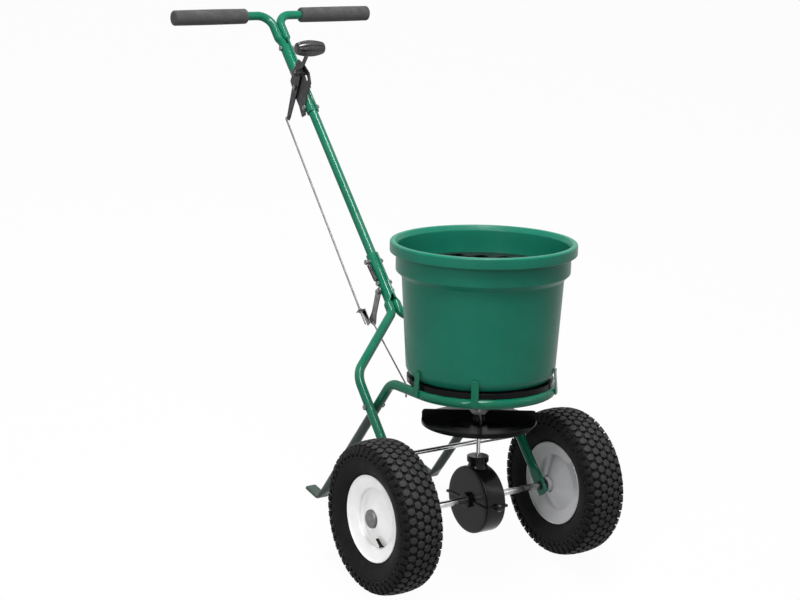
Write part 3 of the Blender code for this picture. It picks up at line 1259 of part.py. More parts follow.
def stand_on_origin(root):
    """Put the middle of the finished machine's footprint on the world origin."""
    bpy.context.view_layer.update()
    graph = bpy.context.evaluated_depsgraph_get()
    lows, highs = [], []
    for item in bpy.context.scene.objects:
        if item.type not in {"MESH", "CURVE"} or item.hide_render:
            continue
        evaluated = item.evaluated_get(graph)
        mesh = evaluated.to_mesh()
        coords = np.array([tuple(evaluated.matrix_world @ vertex.co) for vertex in mesh.vertices])
        lows.append(coords.min(axis=0))
        highs.append(coords.max(axis=0))
        evaluated.to_mesh_clear()
    low = np.min(lows, axis=0)
    high = np.max(highs, axis=0)
    root.location.x -= float(low[0] + high[0]) / 2
    root.location.y -= float(low[1] + high[1]) / 2
    root.location.z -= float(low[2])
    bpy.context.view_layer.update()


def build():
    """Build the whole machine."""
    clear_scene()
    root = add_pivot("machine", None, (0, 0, WHEEL_RADIUS))
    root.rotation_euler.x = -LEAN

    post = make_post(root)
    tubes = [make_frame_tube(root, "frame_tube_left", 1), make_frame_tube(root, "frame_tube_right", -1)]
    bars = [make_handlebar(root, "handlebar_left", 1), make_handlebar(root, "handlebar_right", -1)]
    for label, sign in (("left", 1), ("right", -1)):
        make_grip(root, "grip_" + label, sign)
        make_bush(root, "axle_bush_" + label, sign)
    stand = make_ring_stand(root)
    make_brace(root)
    make_hopper(root)
    for index, angle in enumerate(STRAP_ANGLES):
        make_strap(root, "hopper_strap_%d" % (index + 1), angle)
    make_base_plate(root)
    make_gearbox(root)
    gauge = make_gauge(root)
    make_spring(root)

    hole = polygon_radius(BOLT_RADIUS + GAP, 12)
    reach = SADDLE_OUTER + 0.004
    nut_x = SADDLE_OUTER + GAP
    bolts = (("handlebar_bolt_upper", UPPER_GRIP_BOLT, 0.0, bars, BOLT_HEAD_X, None),
             ("handlebar_bolt_lower", LOWER_GRIP_BOLT, 0.0, bars + [gauge], BOLT_HEAD_X - PLATE_WALL - GAP, None),
             ("spring_anchor_bolt", SPRING_BOLT, 0.0, tubes, LEVER_X - SPRING_WIRE_RADIUS - 0.001,
              (BOLT_HEAD_X - 0.0022, BOLT_HEAD_X, 0.006)),
             ("frame_bolt", FRAME_BOLT, 0.0, tubes, BOLT_HEAD_X, None),
             ("lever_pivot_bolt", *LEVER_PIVOT, bars + [gauge], PIVOT_HEAD_X, None),
             ("crank_pivot_bolt", *CRANK_PIVOT, tubes, PIVOT_HEAD_X,
              (LEVER_X + LEVER_WALL / 2 + GAP, BOLT_HEAD_X, 0.006)))
    for name, along, out, pieces, head_x, collar in bolts:
        place = handle_point(0, along, out)
        drilled(root, "guide_" + name, pieces + [post], -reach - PLATE_WALL * 2, reach, place, hole)
        cross_bolt(root, name, place, head_x, nut_x, collar=collar)

    crossing = leg_crossing()
    brace_place = Vector((0, BRACE_Y, BRACE_Y * FRAME_LOW_BEND_Z / FRAME_LOW_BEND_Y))
    for tube, sign, label in ((tubes[0], 1, "left"), (tubes[1], -1, "right")):
        outside = FRAME_X + TUBE_RADIUS + GAP
        inside = RING_RADIUS - TUBE_RADIUS - GAP
        ends = (-outside, -inside) if sign < 0 else (inside, outside)
        drilled(root, "guide_leg_bolt_" + label, [tube, stand], ends[0] - 0.01, ends[1] + 0.01, crossing, hole)
        cross_bolt(root, "leg_bolt_" + label, crossing, ends[0], ends[1])
        drilled(root, "guide_brace_" + label, [tube], ends[0] - 0.01, ends[1] + 0.01, brace_place, hole)
        ear_place = Vector((0, 0, 0))
        drilled(root, "guide_ear_" + label, [tube], ends[0] - 0.01, ends[1] + 0.01, ear_place,
                polygon_radius(BUSH_RADIUS + GAP, 16), 16)

    axle_pivot = add_pivot("axle_pivot", root, (0, 0, 0))
    drive_rim = make_wheel(axle_pivot, "right", -1)
    make_axle(axle_pivot, drive_rim)
    make_crown_gear(axle_pivot)
    free_pivot = add_pivot("free_wheel_pivot", root, (0, 0, 0))
    make_wheel(free_pivot, "left", 1)

    impeller_pivot = add_pivot("impeller_pivot", root, (0, 0, 0))
    make_shaft(impeller_pivot)
    make_impeller(impeller_pivot)
    make_pinion(impeller_pivot)
    make_screen(add_pivot("screen_pivot", root, (0, 0, 0)))
    make_shutter(add_pivot("shutter_pivot", root, (0, 0, 0)))

    lever_place = handle_point(0, *LEVER_PIVOT)
    lever_pivot = add_pivot("lever_pivot", root, lever_place)
    make_lever(lever_pivot, lever_place)
    make_rate_stop(add_pivot("stop_pivot", root, lever_place))
    rod_place = handle_point(0, *LEVER_PIN)
    rod_pivot = add_pivot("rod_pivot", root, rod_place)
    make_control_rod(rod_pivot, rod_place)
    make_rod_clip(rod_pivot, rod_place)
    crank_place = handle_point(0, *CRANK_PIVOT)
    make_crank(add_pivot("crank_pivot", root, crank_place), crank_place)
    wire_place = handle_point(0, *CRANK_WIRE_HOLE)
    make_wire(add_pivot("wire_pivot", root, wire_place), wire_place)

    stand_on_origin(root)


build()
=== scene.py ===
"""Looks of a push broadcast spreader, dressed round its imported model.

Every shape is worked out in the machine frame (origin at the axle's middle, +X to the left wheel, +Y back
towards the handle, +Z up along the impeller shaft) and then leaned back with the parked machine. Units are metres.
"""

import sys

import json
import logging
from dataclasses import dataclass, field
from enum import Enum
from math import acos, atan2, copysign, cos, pi, radians, sin, tan

import bmesh
import bpy
import numpy as np
from mathutils import Matrix, Vector
from numpy.typing import NDArray

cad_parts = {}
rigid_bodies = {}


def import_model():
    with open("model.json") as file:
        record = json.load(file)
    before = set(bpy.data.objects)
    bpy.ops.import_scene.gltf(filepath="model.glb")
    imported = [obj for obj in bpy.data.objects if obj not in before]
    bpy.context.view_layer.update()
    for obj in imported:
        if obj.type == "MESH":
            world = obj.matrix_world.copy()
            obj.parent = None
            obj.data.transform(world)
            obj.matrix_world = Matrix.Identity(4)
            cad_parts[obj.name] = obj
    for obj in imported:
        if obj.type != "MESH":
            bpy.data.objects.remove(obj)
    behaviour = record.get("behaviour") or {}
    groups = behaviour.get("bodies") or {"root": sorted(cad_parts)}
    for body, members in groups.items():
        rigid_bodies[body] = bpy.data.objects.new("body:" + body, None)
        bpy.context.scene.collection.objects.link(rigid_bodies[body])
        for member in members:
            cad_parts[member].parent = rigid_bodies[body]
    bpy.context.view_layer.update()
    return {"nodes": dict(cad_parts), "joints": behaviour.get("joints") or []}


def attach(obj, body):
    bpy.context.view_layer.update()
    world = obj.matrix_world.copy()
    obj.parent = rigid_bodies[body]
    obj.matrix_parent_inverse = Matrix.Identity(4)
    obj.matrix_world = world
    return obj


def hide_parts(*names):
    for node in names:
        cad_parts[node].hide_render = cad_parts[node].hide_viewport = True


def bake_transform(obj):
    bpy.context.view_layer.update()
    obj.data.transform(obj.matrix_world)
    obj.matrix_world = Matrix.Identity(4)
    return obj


Points = NDArray[np.float64]
Faces = NDArray[np.int64]
Pair = tuple[float, float]
Triple = tuple[float, float, float]
Cloud = tuple[str, float, float, float, float]
Socket = bpy.types.NodeSocket
Sockets = bpy.types.bpy_prop_collection

log = logging.getLogger("spreader")

GAP = 0.0003
BOLT_RADIUS = 0.003
BOLT_HOLE = BOLT_RADIUS + GAP
SHARP = radians(35)
X_AXIS = np.array([1.0, 0.0, 0.0])
Z_AXIS = np.array([0.0, 0.0, 1.0])
ACROSS = np.array([-1.0, 1.0, 1.0])


class Body(Enum):
    """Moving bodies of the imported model."""

    ROOT = "root"
    AXLE = "axle"
    FREE_WHEEL = "free_wheel"
    IMPELLER = "impeller"
    SCREEN = "screen"
    SHUTTER = "shutter"
    LEVER = "lever"
    RATE_STOP = "rate_stop"
    ROD = "rod"
    CRANK = "crank"
    WIRE = "wire"


class Axis(Enum):
    """Axes that a shape is turned about."""

    X = "X"
    Z = "Z"


class Side(Enum):
    """Left and right of the machine, by the sign of X."""

    LEFT = 1
    RIGHT = -1

    @property
    def label(self) -> str:
        """Word used in node names."""
        return self.name.lower()


# -------- frames and curves


@dataclass(frozen=True)
class MachineFrame:
    """Place and lean of the parked machine, and the line of its handle.

    Attributes:
        origin: world place of the axle's middle.
        lean: angle by which the machine leans back on its feet.
        handle_y: Y of the point that distances along the handle start from.
        handle_z: Z of that point.
        slope: angle of the handle line above level.
    """

    origin: Triple
    lean: float
    handle_y: float = 0.341
    handle_z: float = 0.366
    slope: float = radians(48.5)

    def to_world(self, points: Points) -> Points:
        """Lean points of the machine frame and set them in the world.

        Args:
            points: array whose last axis is x, y, z.

        Returns:
            The same array turned by the lean about X, then moved to the origin.
        """
        x, y, z = points[..., 0], points[..., 1], points[..., 2]
        c, s = cos(self.lean), sin(self.lean)
        turned = np.stack([x, y * c + z * s, z * c - y * s], axis=-1)
        return turned + np.array(self.origin)

    def on_handle(self, x: float, along: float, out: float = 0.0) -> Points:
        """Point at a distance along the handle line and out from it, square to it."""
        c, s = cos(self.slope), sin(self.slope)
        return np.array([x, self.handle_y + along * c - out * s, self.handle_z + along * s + out * c])

    @property
    def along(self) -> Points:
        """Direction of the handle line."""
        return np.array([0.0, cos(self.slope), sin(self.slope)])


def unit(vector: Points) -> Points:
    """Vector, or rows of vectors, brought to length one."""
    return vector / np.linalg.norm(vector, axis=-1, keepdims=True)


def spread(count: int) -> Points:
    """Angles of points spread evenly over a full turn."""
    return np.arange(count) * (2 * pi / count)


def smooth_step(share: Points) -> Points:
    """Ease from 0 to 1: three squares less two cubes."""
    share = np.clip(share, 0.0, 1.0)
    return share * share * (3.0 - 2.0 * share)


def filleted(corners: list[Points] | list[Pair], radii: list[float], step: float = radians(10)) -> Points:
    """Polyline through corners with an arc at each inner corner.

    At a corner where the line turns by t, the arc of radius r starts r·tan(t/2) before it, and its centre lies
    r/cos(t/2) away along the bisector.

    Args:
        corners: corner points, in two or three dimensions.
        radii: arc radius at each inner corner.
        step: largest turn between two points of an arc.

    Returns:
        Points along the rounded line.
    """
    places = [np.array(corner, float) for corner in corners]
    path = [places[0]]
    for before, corner, after, radius in zip(places, places[1:], places[2:], radii):
        back, ahead = unit(before - corner), unit(after - corner)
        turn = pi - acos(float(np.clip(back @ ahead, -1.0, 1.0)))
        if radius <= 0 or turn < 1e-4:
            path.append(corner)
            continue
        room = 0.49 * min(np.linalg.norm(before - corner), np.linalg.norm(after - corner)) / tan(turn / 2)
        radius = min(radius, float(room))
        centre = corner + unit(back + ahead) * (radius / cos(turn / 2))
        first = unit(corner + back * radius * tan(turn / 2) - centre)
        angles = np.linspace(0.0, turn, max(2, int(turn / step) + 2))[:, None]
        path.extend(centre + (first * np.cos(angles) - back * np.sin(angles)) * radius)
    path.append(places[-1])
    return np.array(path)


def spaced(path: Points, pitch: float) -> Points:
    """Add points to the long straights of a path.

    Args:
        path: points of the path.
        pitch: longest straight to be left.

    Returns:
        The path with the points added.
    """
    pieces = []
    for start, end in zip(path, path[1:]):
        count = max(1, int(np.ceil(np.linalg.norm(end - start) / pitch)))
        pieces.append(start + (end - start) * (np.arange(count) / count)[:, None])
    return np.vstack([*pieces, path[-1:]])


def path_frames(path: Points, side: Triple, fixed: bool) -> tuple[Points, Points]:
    """Side and upright directions at each point of a path.

    The side is the given one, or the last one carried along without twist, less its part along the tangent. The
    upright is the tangent crossed with the side.

    Args:
        path: points of the path.
        side: side direction at the start.
        fixed: keep that side all along.

    Returns:
        The side and the upright directions.
    """
    steps = unit(np.diff(path, axis=0))
    tangents = unit(np.vstack([steps[:1], steps[1:] + steps[:-1], steps[-1:]]))
    sides = np.empty_like(path)
    last = np.array(side, float)
    for index, tangent in enumerate(tangents):
        source = np.array(side, float) if fixed else last
        last = unit(source - tangent * (source @ tangent))
        sides[index] = last
    return sides, np.cross(tangents, sides)


def carried(path: Points, sections: Points, side: Triple = (1.0, 0.0, 0.0), fixed: bool = False) -> Points:
    """Carry sections along a path.

    A point is the path's point, plus u times the side direction, plus v times the upright one.

    Args:
        path: points of the path, (n, 3).
        sections: one section (m, 2) or one for each point (n, m, 2).
        side: side direction at the start.
        fixed: keep that side all along.

    Returns:
        Grid of rings, (n, m, 3).
    """
    sides, uprights = path_frames(path, side, fixed)
    if sections.ndim == 2:
        sections = np.broadcast_to(sections, (len(path), *sections.shape))
    return path[:, None] + sides[:, None] * sections[..., :1] + uprights[:, None] * sections[..., 1:]


def turned(profile: Points, sides: int, axis: Axis = Axis.Z, swell: Points | None = None) -> Points:
    """Spin a profile of (distance along the axis, radius) round the axis.

    Args:
        profile: rows of (along, radius).
        sides: points round each ring.
        axis: the axis.
        swell: radius factor for each profile point and angle, (n, sides).

    Returns:
        Grid (n, sides, 3) whose point is (along, r·cos a, r·sin a) for X, and (r·cos a, r·sin a, along) for Z.
    """
    angles = spread(sides)
    radius = profile[:, 1:] * (np.ones((1, sides)) if swell is None else swell)
    along = np.broadcast_to(profile[:, :1], radius.shape)
    first, second = radius * np.cos(angles), radius * np.sin(angles)
    return np.stack((along, first, second) if axis is Axis.X else (first, second, along), axis=-1)


def circle(radius: float, sides: int) -> Points:
    """Round section, from its lowest point on."""
    angles = spread(sides) - pi / 2
    return radius * np.stack([np.cos(angles), np.sin(angles)], axis=-1)


def pressed(half_side: float, half_upright: float, sides: int, flat_side: bool = False) -> Points:
    """Tube pressed flat: a circle whose one coordinate is 1.7 times as steep and cut off at the flats.

    Args:
        half_side: half the width along the side direction.
        half_upright: half the width along the upright one.
        sides: points round the section.
        flat_side: press it along the side direction, and not along the upright one.

    Returns:
        The section.
    """
    points = circle(1.0, sides)
    column = 0 if flat_side else 1
    steep = 1.7 * points[:, column]
    size = np.abs(steep)
    points[:, column] = np.sign(steep) * np.minimum(1.0, size - 0.12 * np.clip(size - 0.86, 0, 0.4))
    return points * np.array([half_side, half_upright])


def blend_rings(first: Points, second: Points, count: int) -> Points:
    """Sections between two others, eased by the smooth step, both ends left out."""
    share = smooth_step(np.arange(1, count + 1) / (count + 1))[:, None, None]
    return first * (1 - share) + second * share


# -------- meshes


@dataclass
class Shell:
    """Closed skins gathered into one mesh, in the machine frame."""

    points: list[Points] = field(default_factory=list)
    quads: list[Faces] = field(default_factory=list)
    tris: list[Faces] = field(default_factory=list)
    count: int = 0

    def skin(self, grid: Points, ring: bool = False) -> "Shell":
        """Skin a grid of rings and close it.

        Quads join each ring to the next. A fan from the middle closes each end, or with ring the last ring is
        joined to the first. The signed volume, the sum of a·(b×c)/6 over the triangles, turns it outwards.

        Args:
            grid: rings, (n, m, 3).
            ring: join the last ring to the first.

        Returns:
            The shell itself.
        """
        rows, columns, _ = grid.shape
        index = np.arange(rows * columns).reshape(rows, columns)
        low = index if ring else index[:-1]
        high = np.roll(index, -1, axis=0) if ring else index[1:]
        quads = np.stack([low, np.roll(low, -1, 1), np.roll(high, -1, 1), high], axis=-1).reshape(-1, 4)
        points, tris = grid.reshape(-1, 3), np.empty((0, 3), np.int64)
        if not ring:
            points = np.vstack([points, grid[[0, -1]].mean(axis=1)])
            start, end = index[0], index[-1]
            hub = np.full(columns, rows * columns)
            tris = np.vstack([np.stack([np.roll(start, -1), start, hub], -1),
                              np.stack([end, np.roll(end, -1), hub + 1], -1)])
        return self.join(points, quads, tris)

    def join(self, points: Points, quads: Faces, tris: Faces, outward: bool = True) -> "Shell":
        """Add points and faces.

        Args:
            points: the points.
            quads: faces of four points.
            tris: faces of three.
            outward: turn the faces outwards by their signed volume.

        Returns:
            The shell itself.
        """
        corners = np.vstack([quads[:, [0, 1, 2]], quads[:, [0, 2, 3]], tris])
        local = points - points.mean(axis=0)
        a, b, c = (local[corners[:, k]] for k in range(3))
        if outward and (a * np.cross(b, c)).sum() < 0:
            quads, tris = quads[:, ::-1], tris[:, ::-1]
        self.points.append(points)
        self.quads.append(quads + self.count)
        self.tris.append(tris + self.count)
        self.count += len(points)
        return self

    def add(self, other: "Shell", outward: bool = True) -> "Shell":
        """Add another shell's skins."""
        return self.join(np.vstack(other.points), np.vstack(other.quads), np.vstack(other.tris), outward)

    def copies(self, grid: Points) -> "Shell":
        """Skin many equal grids at once, each closed by its two fans.

        Args:
            grid: the grids, (k, n, m, 3).

        Returns:
            The shell itself.
        """
        number, rows, columns, _ = grid.shape
        single = Shell().skin(grid[0])
        size = rows * columns + 2
        ends = grid[:, [0, -1]].mean(axis=2)
        points = np.concatenate([grid.reshape(number, -1, 3), ends], axis=1).reshape(-1, 3)
        shift = (np.arange(number) * size)[:, None, None]
        quads = (single.quads[0][None] + shift).reshape(-1, 4)
        tris = (single.tris[0][None] + shift).reshape(-1, 3)
        return self.join(points, quads, tris, outward=False)

    def on_side(self, side: Side) -> "Shell":
        """This shell, drawn for the left, on the side asked for.

        Args:
            side: that side.

        Returns:
            The shell itself, or its mirror image.
        """
        if side is Side.LEFT:
            return self
        return Shell([points * ACROSS for points in self.points], [quads[:, ::-1] for quads in self.quads],
                     [tris[:, ::-1] for tris in self.tris], self.count)

    def moved(self, offset: Triple) -> "Shell":
        """Shift every point."""
        self.points = [points + np.array(offset) for points in self.points]
        return self

    def rolled(self, angle: float, axis: Axis) -> "Shell":
        """Turn every point about an axis through the origin.

        Args:
            angle: the turn.
            axis: the axis.

        Returns:
            The shell itself.
        """
        matrix = np.array(Matrix.Rotation(angle, 3, axis.value))
        self.points = [points @ matrix.T for points in self.points]
        return self

    def mesh(self, name: str, frame: MachineFrame, sharp: float = SHARP) -> bpy.types.Mesh:
        """Make the Blender mesh, in the world and smooth.

        Args:
            name: its name.
            frame: the machine frame.
            sharp: angle past which an edge stays sharp.

        Returns:
            The mesh.
        """
        points = frame.to_world(np.vstack(self.points))
        quads, tris = np.vstack(self.quads), np.vstack(self.tris)
        mesh = bpy.data.meshes.new(name)
        mesh.vertices.add(len(points))
        mesh.vertices.foreach_set("co", points.astype(np.float32).ravel())
        mesh.loops.add(quads.size + tris.size)
        mesh.loops.foreach_set("vertex_index", np.concatenate([quads.ravel(), tris.ravel()]).astype(np.int32))
        starts = np.concatenate([np.arange(len(quads)) * 4, quads.size + np.arange(len(tris)) * 3])
        mesh.polygons.add(len(starts))
        mesh.polygons.foreach_set("loop_start", starts.astype(np.int32))
        mesh.update(calc_edges=True)
        mesh.validate()
        mesh.shade_smooth()
        mesh.set_sharp_from_angle(angle=sharp)
        return mesh


def rod_x(start: float, end: float, radius: float, y: float = 0.0, z: float = 0.0, sides: int = 32) -> Shell:
    """Plain closed cylinder parallel to X, for cutting."""
    grid = turned(np.array([[start, radius], [end, radius]]), sides, Axis.X)
    return Shell().skin(grid + np.array([0.0, y, z]))


def rod_z(low: float, high: float, radius: float, x: float = 0.0, y: float = 0.0, sides: int = 32) -> Shell:
    """Plain closed cylinder parallel to Z, for cutting."""
    grid = turned(np.array([[low, radius], [high, radius]]), sides)
    return Shell().skin(grid + np.array([x, y, 0.0]))


def soft_block(low: Triple, high: Triple, edge: float, sides: int = 24) -> Shell:
    """Block with rounded upright edges and a small chamfer at top and bottom.

    Each level is a rounded rectangle: the centre of each corner's arc, plus the edge radius times (cos a, sin a).

    Args:
        low: lowest corner.
        high: highest corner.
        edge: radius of the upright edges.
        sides: points round each level.

    Returns:
        The block.
    """
    low_a, high_a = np.array(low), np.array(high)
    middle, half = (low_a + high_a) / 2, (high_a - low_a) / 2
    edge = min(edge, *(half * 0.98))
    angles = (np.arange(sides) + 0.5) * (2 * pi / sides)
    direction = np.stack([np.cos(angles), np.sin(angles)], -1)
    corner = np.sign(direction) * (half[:2] - edge)
    rings = []
    for height, inset in ((-half[2], edge * 0.6), (-half[2] + edge * 0.3, edge * 0.2), (-half[2] + edge, 0.0),
                          (half[2] - edge, 0.0), (half[2] - edge * 0.3, edge * 0.2), (half[2], edge * 0.6)):
        flat = corner + direction * (edge - inset)
        rings.append(np.column_stack([flat, np.full(sides, height)]) + middle)
    return Shell().skin(np.array(rings))


@dataclass(frozen=True)
class Dress:
    """A material, and the slot of the record that it fills."""

    material: bpy.types.Material
    slot: str


def in_scene(name: str, data: bpy.types.ID) -> bpy.types.Object:
    """New object of the scene.

    Args:
        name: its name.
        data: its mesh, light or camera.

    Returns:
        The object.
    """
    made = bpy.data.objects.new(name, data)
    bpy.context.scene.collection.objects.link(made)
    return made


@dataclass
class Bench:
    """Where meshes become named pieces of the dressed machine."""

    frame: MachineFrame
    nodes: dict[str, bpy.types.Object]
    made: int = 0

    def carve(self, piece: bpy.types.Object, cutters: list[Shell]) -> None:
        """Cut closed shells out of a piece and keep the result as its mesh.

        Args:
            piece: the piece.
            cutters: the shells.
        """
        tool = Shell()
        for cutter in cutters:
            tool.add(cutter, outward=False)
        guide = in_scene("cutter", tool.mesh("cutter", self.frame))
        modifier = piece.modifiers.new("cut", "BOOLEAN")
        modifier.object, modifier.operation, modifier.solver = guide, "DIFFERENCE", "EXACT"
        modifier.use_self = True
        bpy.context.view_layer.update()
        graph = bpy.context.evaluated_depsgraph_get()
        result = bpy.data.meshes.new_from_object(piece.evaluated_get(graph))
        piece.modifiers.clear()
        spare, piece.data = [piece.data, guide.data], result
        bpy.data.objects.remove(guide)
        for mesh in spare:
            bpy.data.meshes.remove(mesh)
        result.shade_smooth()
        result.set_sharp_from_angle(angle=SHARP)

    def place(self, name: str, node: str, shell: Shell, dress: Dress, body: Body = Body.ROOT,
              cutters: list[Shell] | None = None, sharp: float = SHARP) -> bpy.types.Object:
        """Make a piece from a shell, dress it and let it ride on its body.

        Args:
            name: name of the new piece.
            node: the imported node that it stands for.
            shell: its closed skins.
            dress: its material and slot.
            body: the body that it moves with.
            cutters: closed shells to cut out of it.
            sharp: angle past which an edge stays sharp.

        Returns:
            The new object.
        """
        piece = in_scene(name, shell.mesh(name, self.frame, sharp))
        if cutters:
            self.carve(piece, cutters)
        return self.settle(piece, node, dress, body)

    def refined(self, name: str, node: str, dress: Dress, body: Body = Body.ROOT,
                edge: float = 0.0004) -> bpy.types.Object:
        """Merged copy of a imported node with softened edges, standing in the node's place.

        Args:
            name: name of the new piece.
            node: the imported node.
            dress: its material and slot.
            body: the body that it moves with.
            edge: width of the rounded edges.

        Returns:
            The new object.
        """
        shape = bmesh.new()
        shape.from_mesh(self.nodes[node].data)
        bmesh.ops.remove_doubles(shape, verts=shape.verts[:], dist=2e-6)
        bmesh.ops.dissolve_limit(shape, angle_limit=radians(1.5), verts=shape.verts[:], edges=shape.edges[:])
        mesh = bpy.data.meshes.new(name)
        shape.to_mesh(mesh)
        shape.free()
        mesh.shade_smooth()
        mesh.set_sharp_from_angle(angle=radians(30))
        piece = in_scene(name, mesh)
        bevel = piece.modifiers.new("soft edges", "BEVEL")
        bevel.width, bevel.segments, bevel.limit_method, bevel.angle_limit = edge, 2, "ANGLE", radians(40)
        return self.settle(piece, node, dress, body)

    def settle(self, piece: bpy.types.Object, node: str, dress: Dress, body: Body) -> bpy.types.Object:
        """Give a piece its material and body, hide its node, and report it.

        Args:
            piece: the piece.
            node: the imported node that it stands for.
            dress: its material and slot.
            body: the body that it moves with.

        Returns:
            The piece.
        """
        piece.data.materials.clear()
        piece.data.materials.append(dress.material)
        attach(piece, body.value)
        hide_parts(node)
        self.made += 1
        log.info("%-24s on %-10s %6d faces", piece.name, body.value, len(piece.data.polygons))
        return piece


# -------- shader groups


class Graph:
    """Short way to add and join shader nodes."""

    def __init__(self, tree: bpy.types.NodeTree) -> None:
        """Work on one node tree."""
        self.tree = tree

    def fill(self, node: bpy.types.Node, values: dict[str, object]) -> bpy.types.Node:
        """Fill a node's sockets.

        Args:
            node: the node.
            values: socket name, or index as text, to a value or another node's output.

        Returns:
            The same node.
        """
        for key, value in values.items():
            socket = node.inputs[int(key)] if key.isdigit() else node.inputs[key]
            if isinstance(value, bpy.types.NodeSocket):
                self.tree.links.new(value, socket)
            else:
                socket.default_value = value
        return node

    def node(self, kind: str, values: dict[str, object] | None = None, **settings: object) -> bpy.types.Node:
        """Add a node, set its properties and fill its sockets.

        Args:
            kind: Blender's node type.
            values: what its sockets get, as in fill.
            **settings: properties of the node.

        Returns:
            The node.
        """
        made = self.tree.nodes.new(kind)
        for key, value in settings.items():
            setattr(made, key, value)
        return self.fill(made, values or {})

    def math(self, operation: str, first: object, second: object = 0.0, clamp: bool = False) -> Socket:
        """Result of one sum on two values."""
        return self.node("ShaderNodeMath", {"0": first, "1": second}, operation=operation, use_clamp=clamp).outputs[0]

    def mix(self, share: object, first: object, second: object) -> Socket:
        """Mix of two colours, each a triple or another node's output."""
        first, second = ((*tone, 1.0) if isinstance(tone, tuple) else tone for tone in (first, second))
        return self.node("ShaderNodeMix", {"0": share, "6": first, "7": second}, data_type="RGBA").outputs[2]

    def ramp(self, value: object, low: float, high: float, to_low: float = 0.0, to_high: float = 1.0) -> Socket:
        """Value eased from one range to another and held at its ends."""
        return self.node("ShaderNodeMapRange", {"0": value, "1": low, "2": high, "3": to_low, "4": to_high},
                         interpolation_type="SMOOTHSTEP").outputs[0]

    def place(self) -> Socket:
        """Object coordinates."""
        return self.node("ShaderNodeTexCoord").outputs["Object"]

    def parts(self) -> Sockets:
        """Object coordinates taken apart into X, Y and Z."""
        return self.node("ShaderNodeSeparateXYZ", {"0": self.place()}).outputs

    def noise(self, place: object, scale: object, detail: float, rough: float = 0.5) -> Socket:
        """Value of a noise texture."""
        return self.node("ShaderNodeTexNoise", {"Vector": place, "Scale": scale, "Detail": detail,
                                                "Roughness": rough}).outputs["Fac"]

    def bump(self, height: object, strength: float, distance: float) -> Socket:
        """Normal raised by a height."""
        return self.node("ShaderNodeBump", {"Strength": strength, "Distance": distance, "Height": height}).outputs[0]

    def effect(self, tree: bpy.types.NodeTree, **values: float) -> Sockets:
        """Outputs of a shared effect, placed with a finish's own values."""
        return self.node("ShaderNodeGroup", values, node_tree=tree).outputs


class EffectGroup(Graph):
    """Shader group with number inputs and outputs."""

    def __init__(self, name: str, inputs: dict[str, float]) -> None:
        """Start the group.

        Args:
            name: name of the group.
            inputs: each input and its usual value.
        """
        super().__init__(bpy.data.node_groups.new(name, "ShaderNodeTree"))
        for label, value in inputs.items():
            self.socket(label, "INPUT").default_value = value
        self.given = self.node("NodeGroupInput").outputs

    def socket(self, label: str, side: str) -> bpy.types.NodeTreeInterfaceSocket:
        """Add a number socket to the group's INPUT or OUTPUT side."""
        return self.tree.interface.new_socket(label, in_out=side, socket_type="NodeSocketFloat")

    def finished(self, **outputs: Socket) -> bpy.types.NodeTree:
        """Give the group its outputs.

        Args:
            **outputs: each output's name and value.

        Returns:
            The group's tree.
        """
        for label in outputs:
            self.socket(label, "OUTPUT")
        self.node("NodeGroupOutput", outputs)
        return self.tree


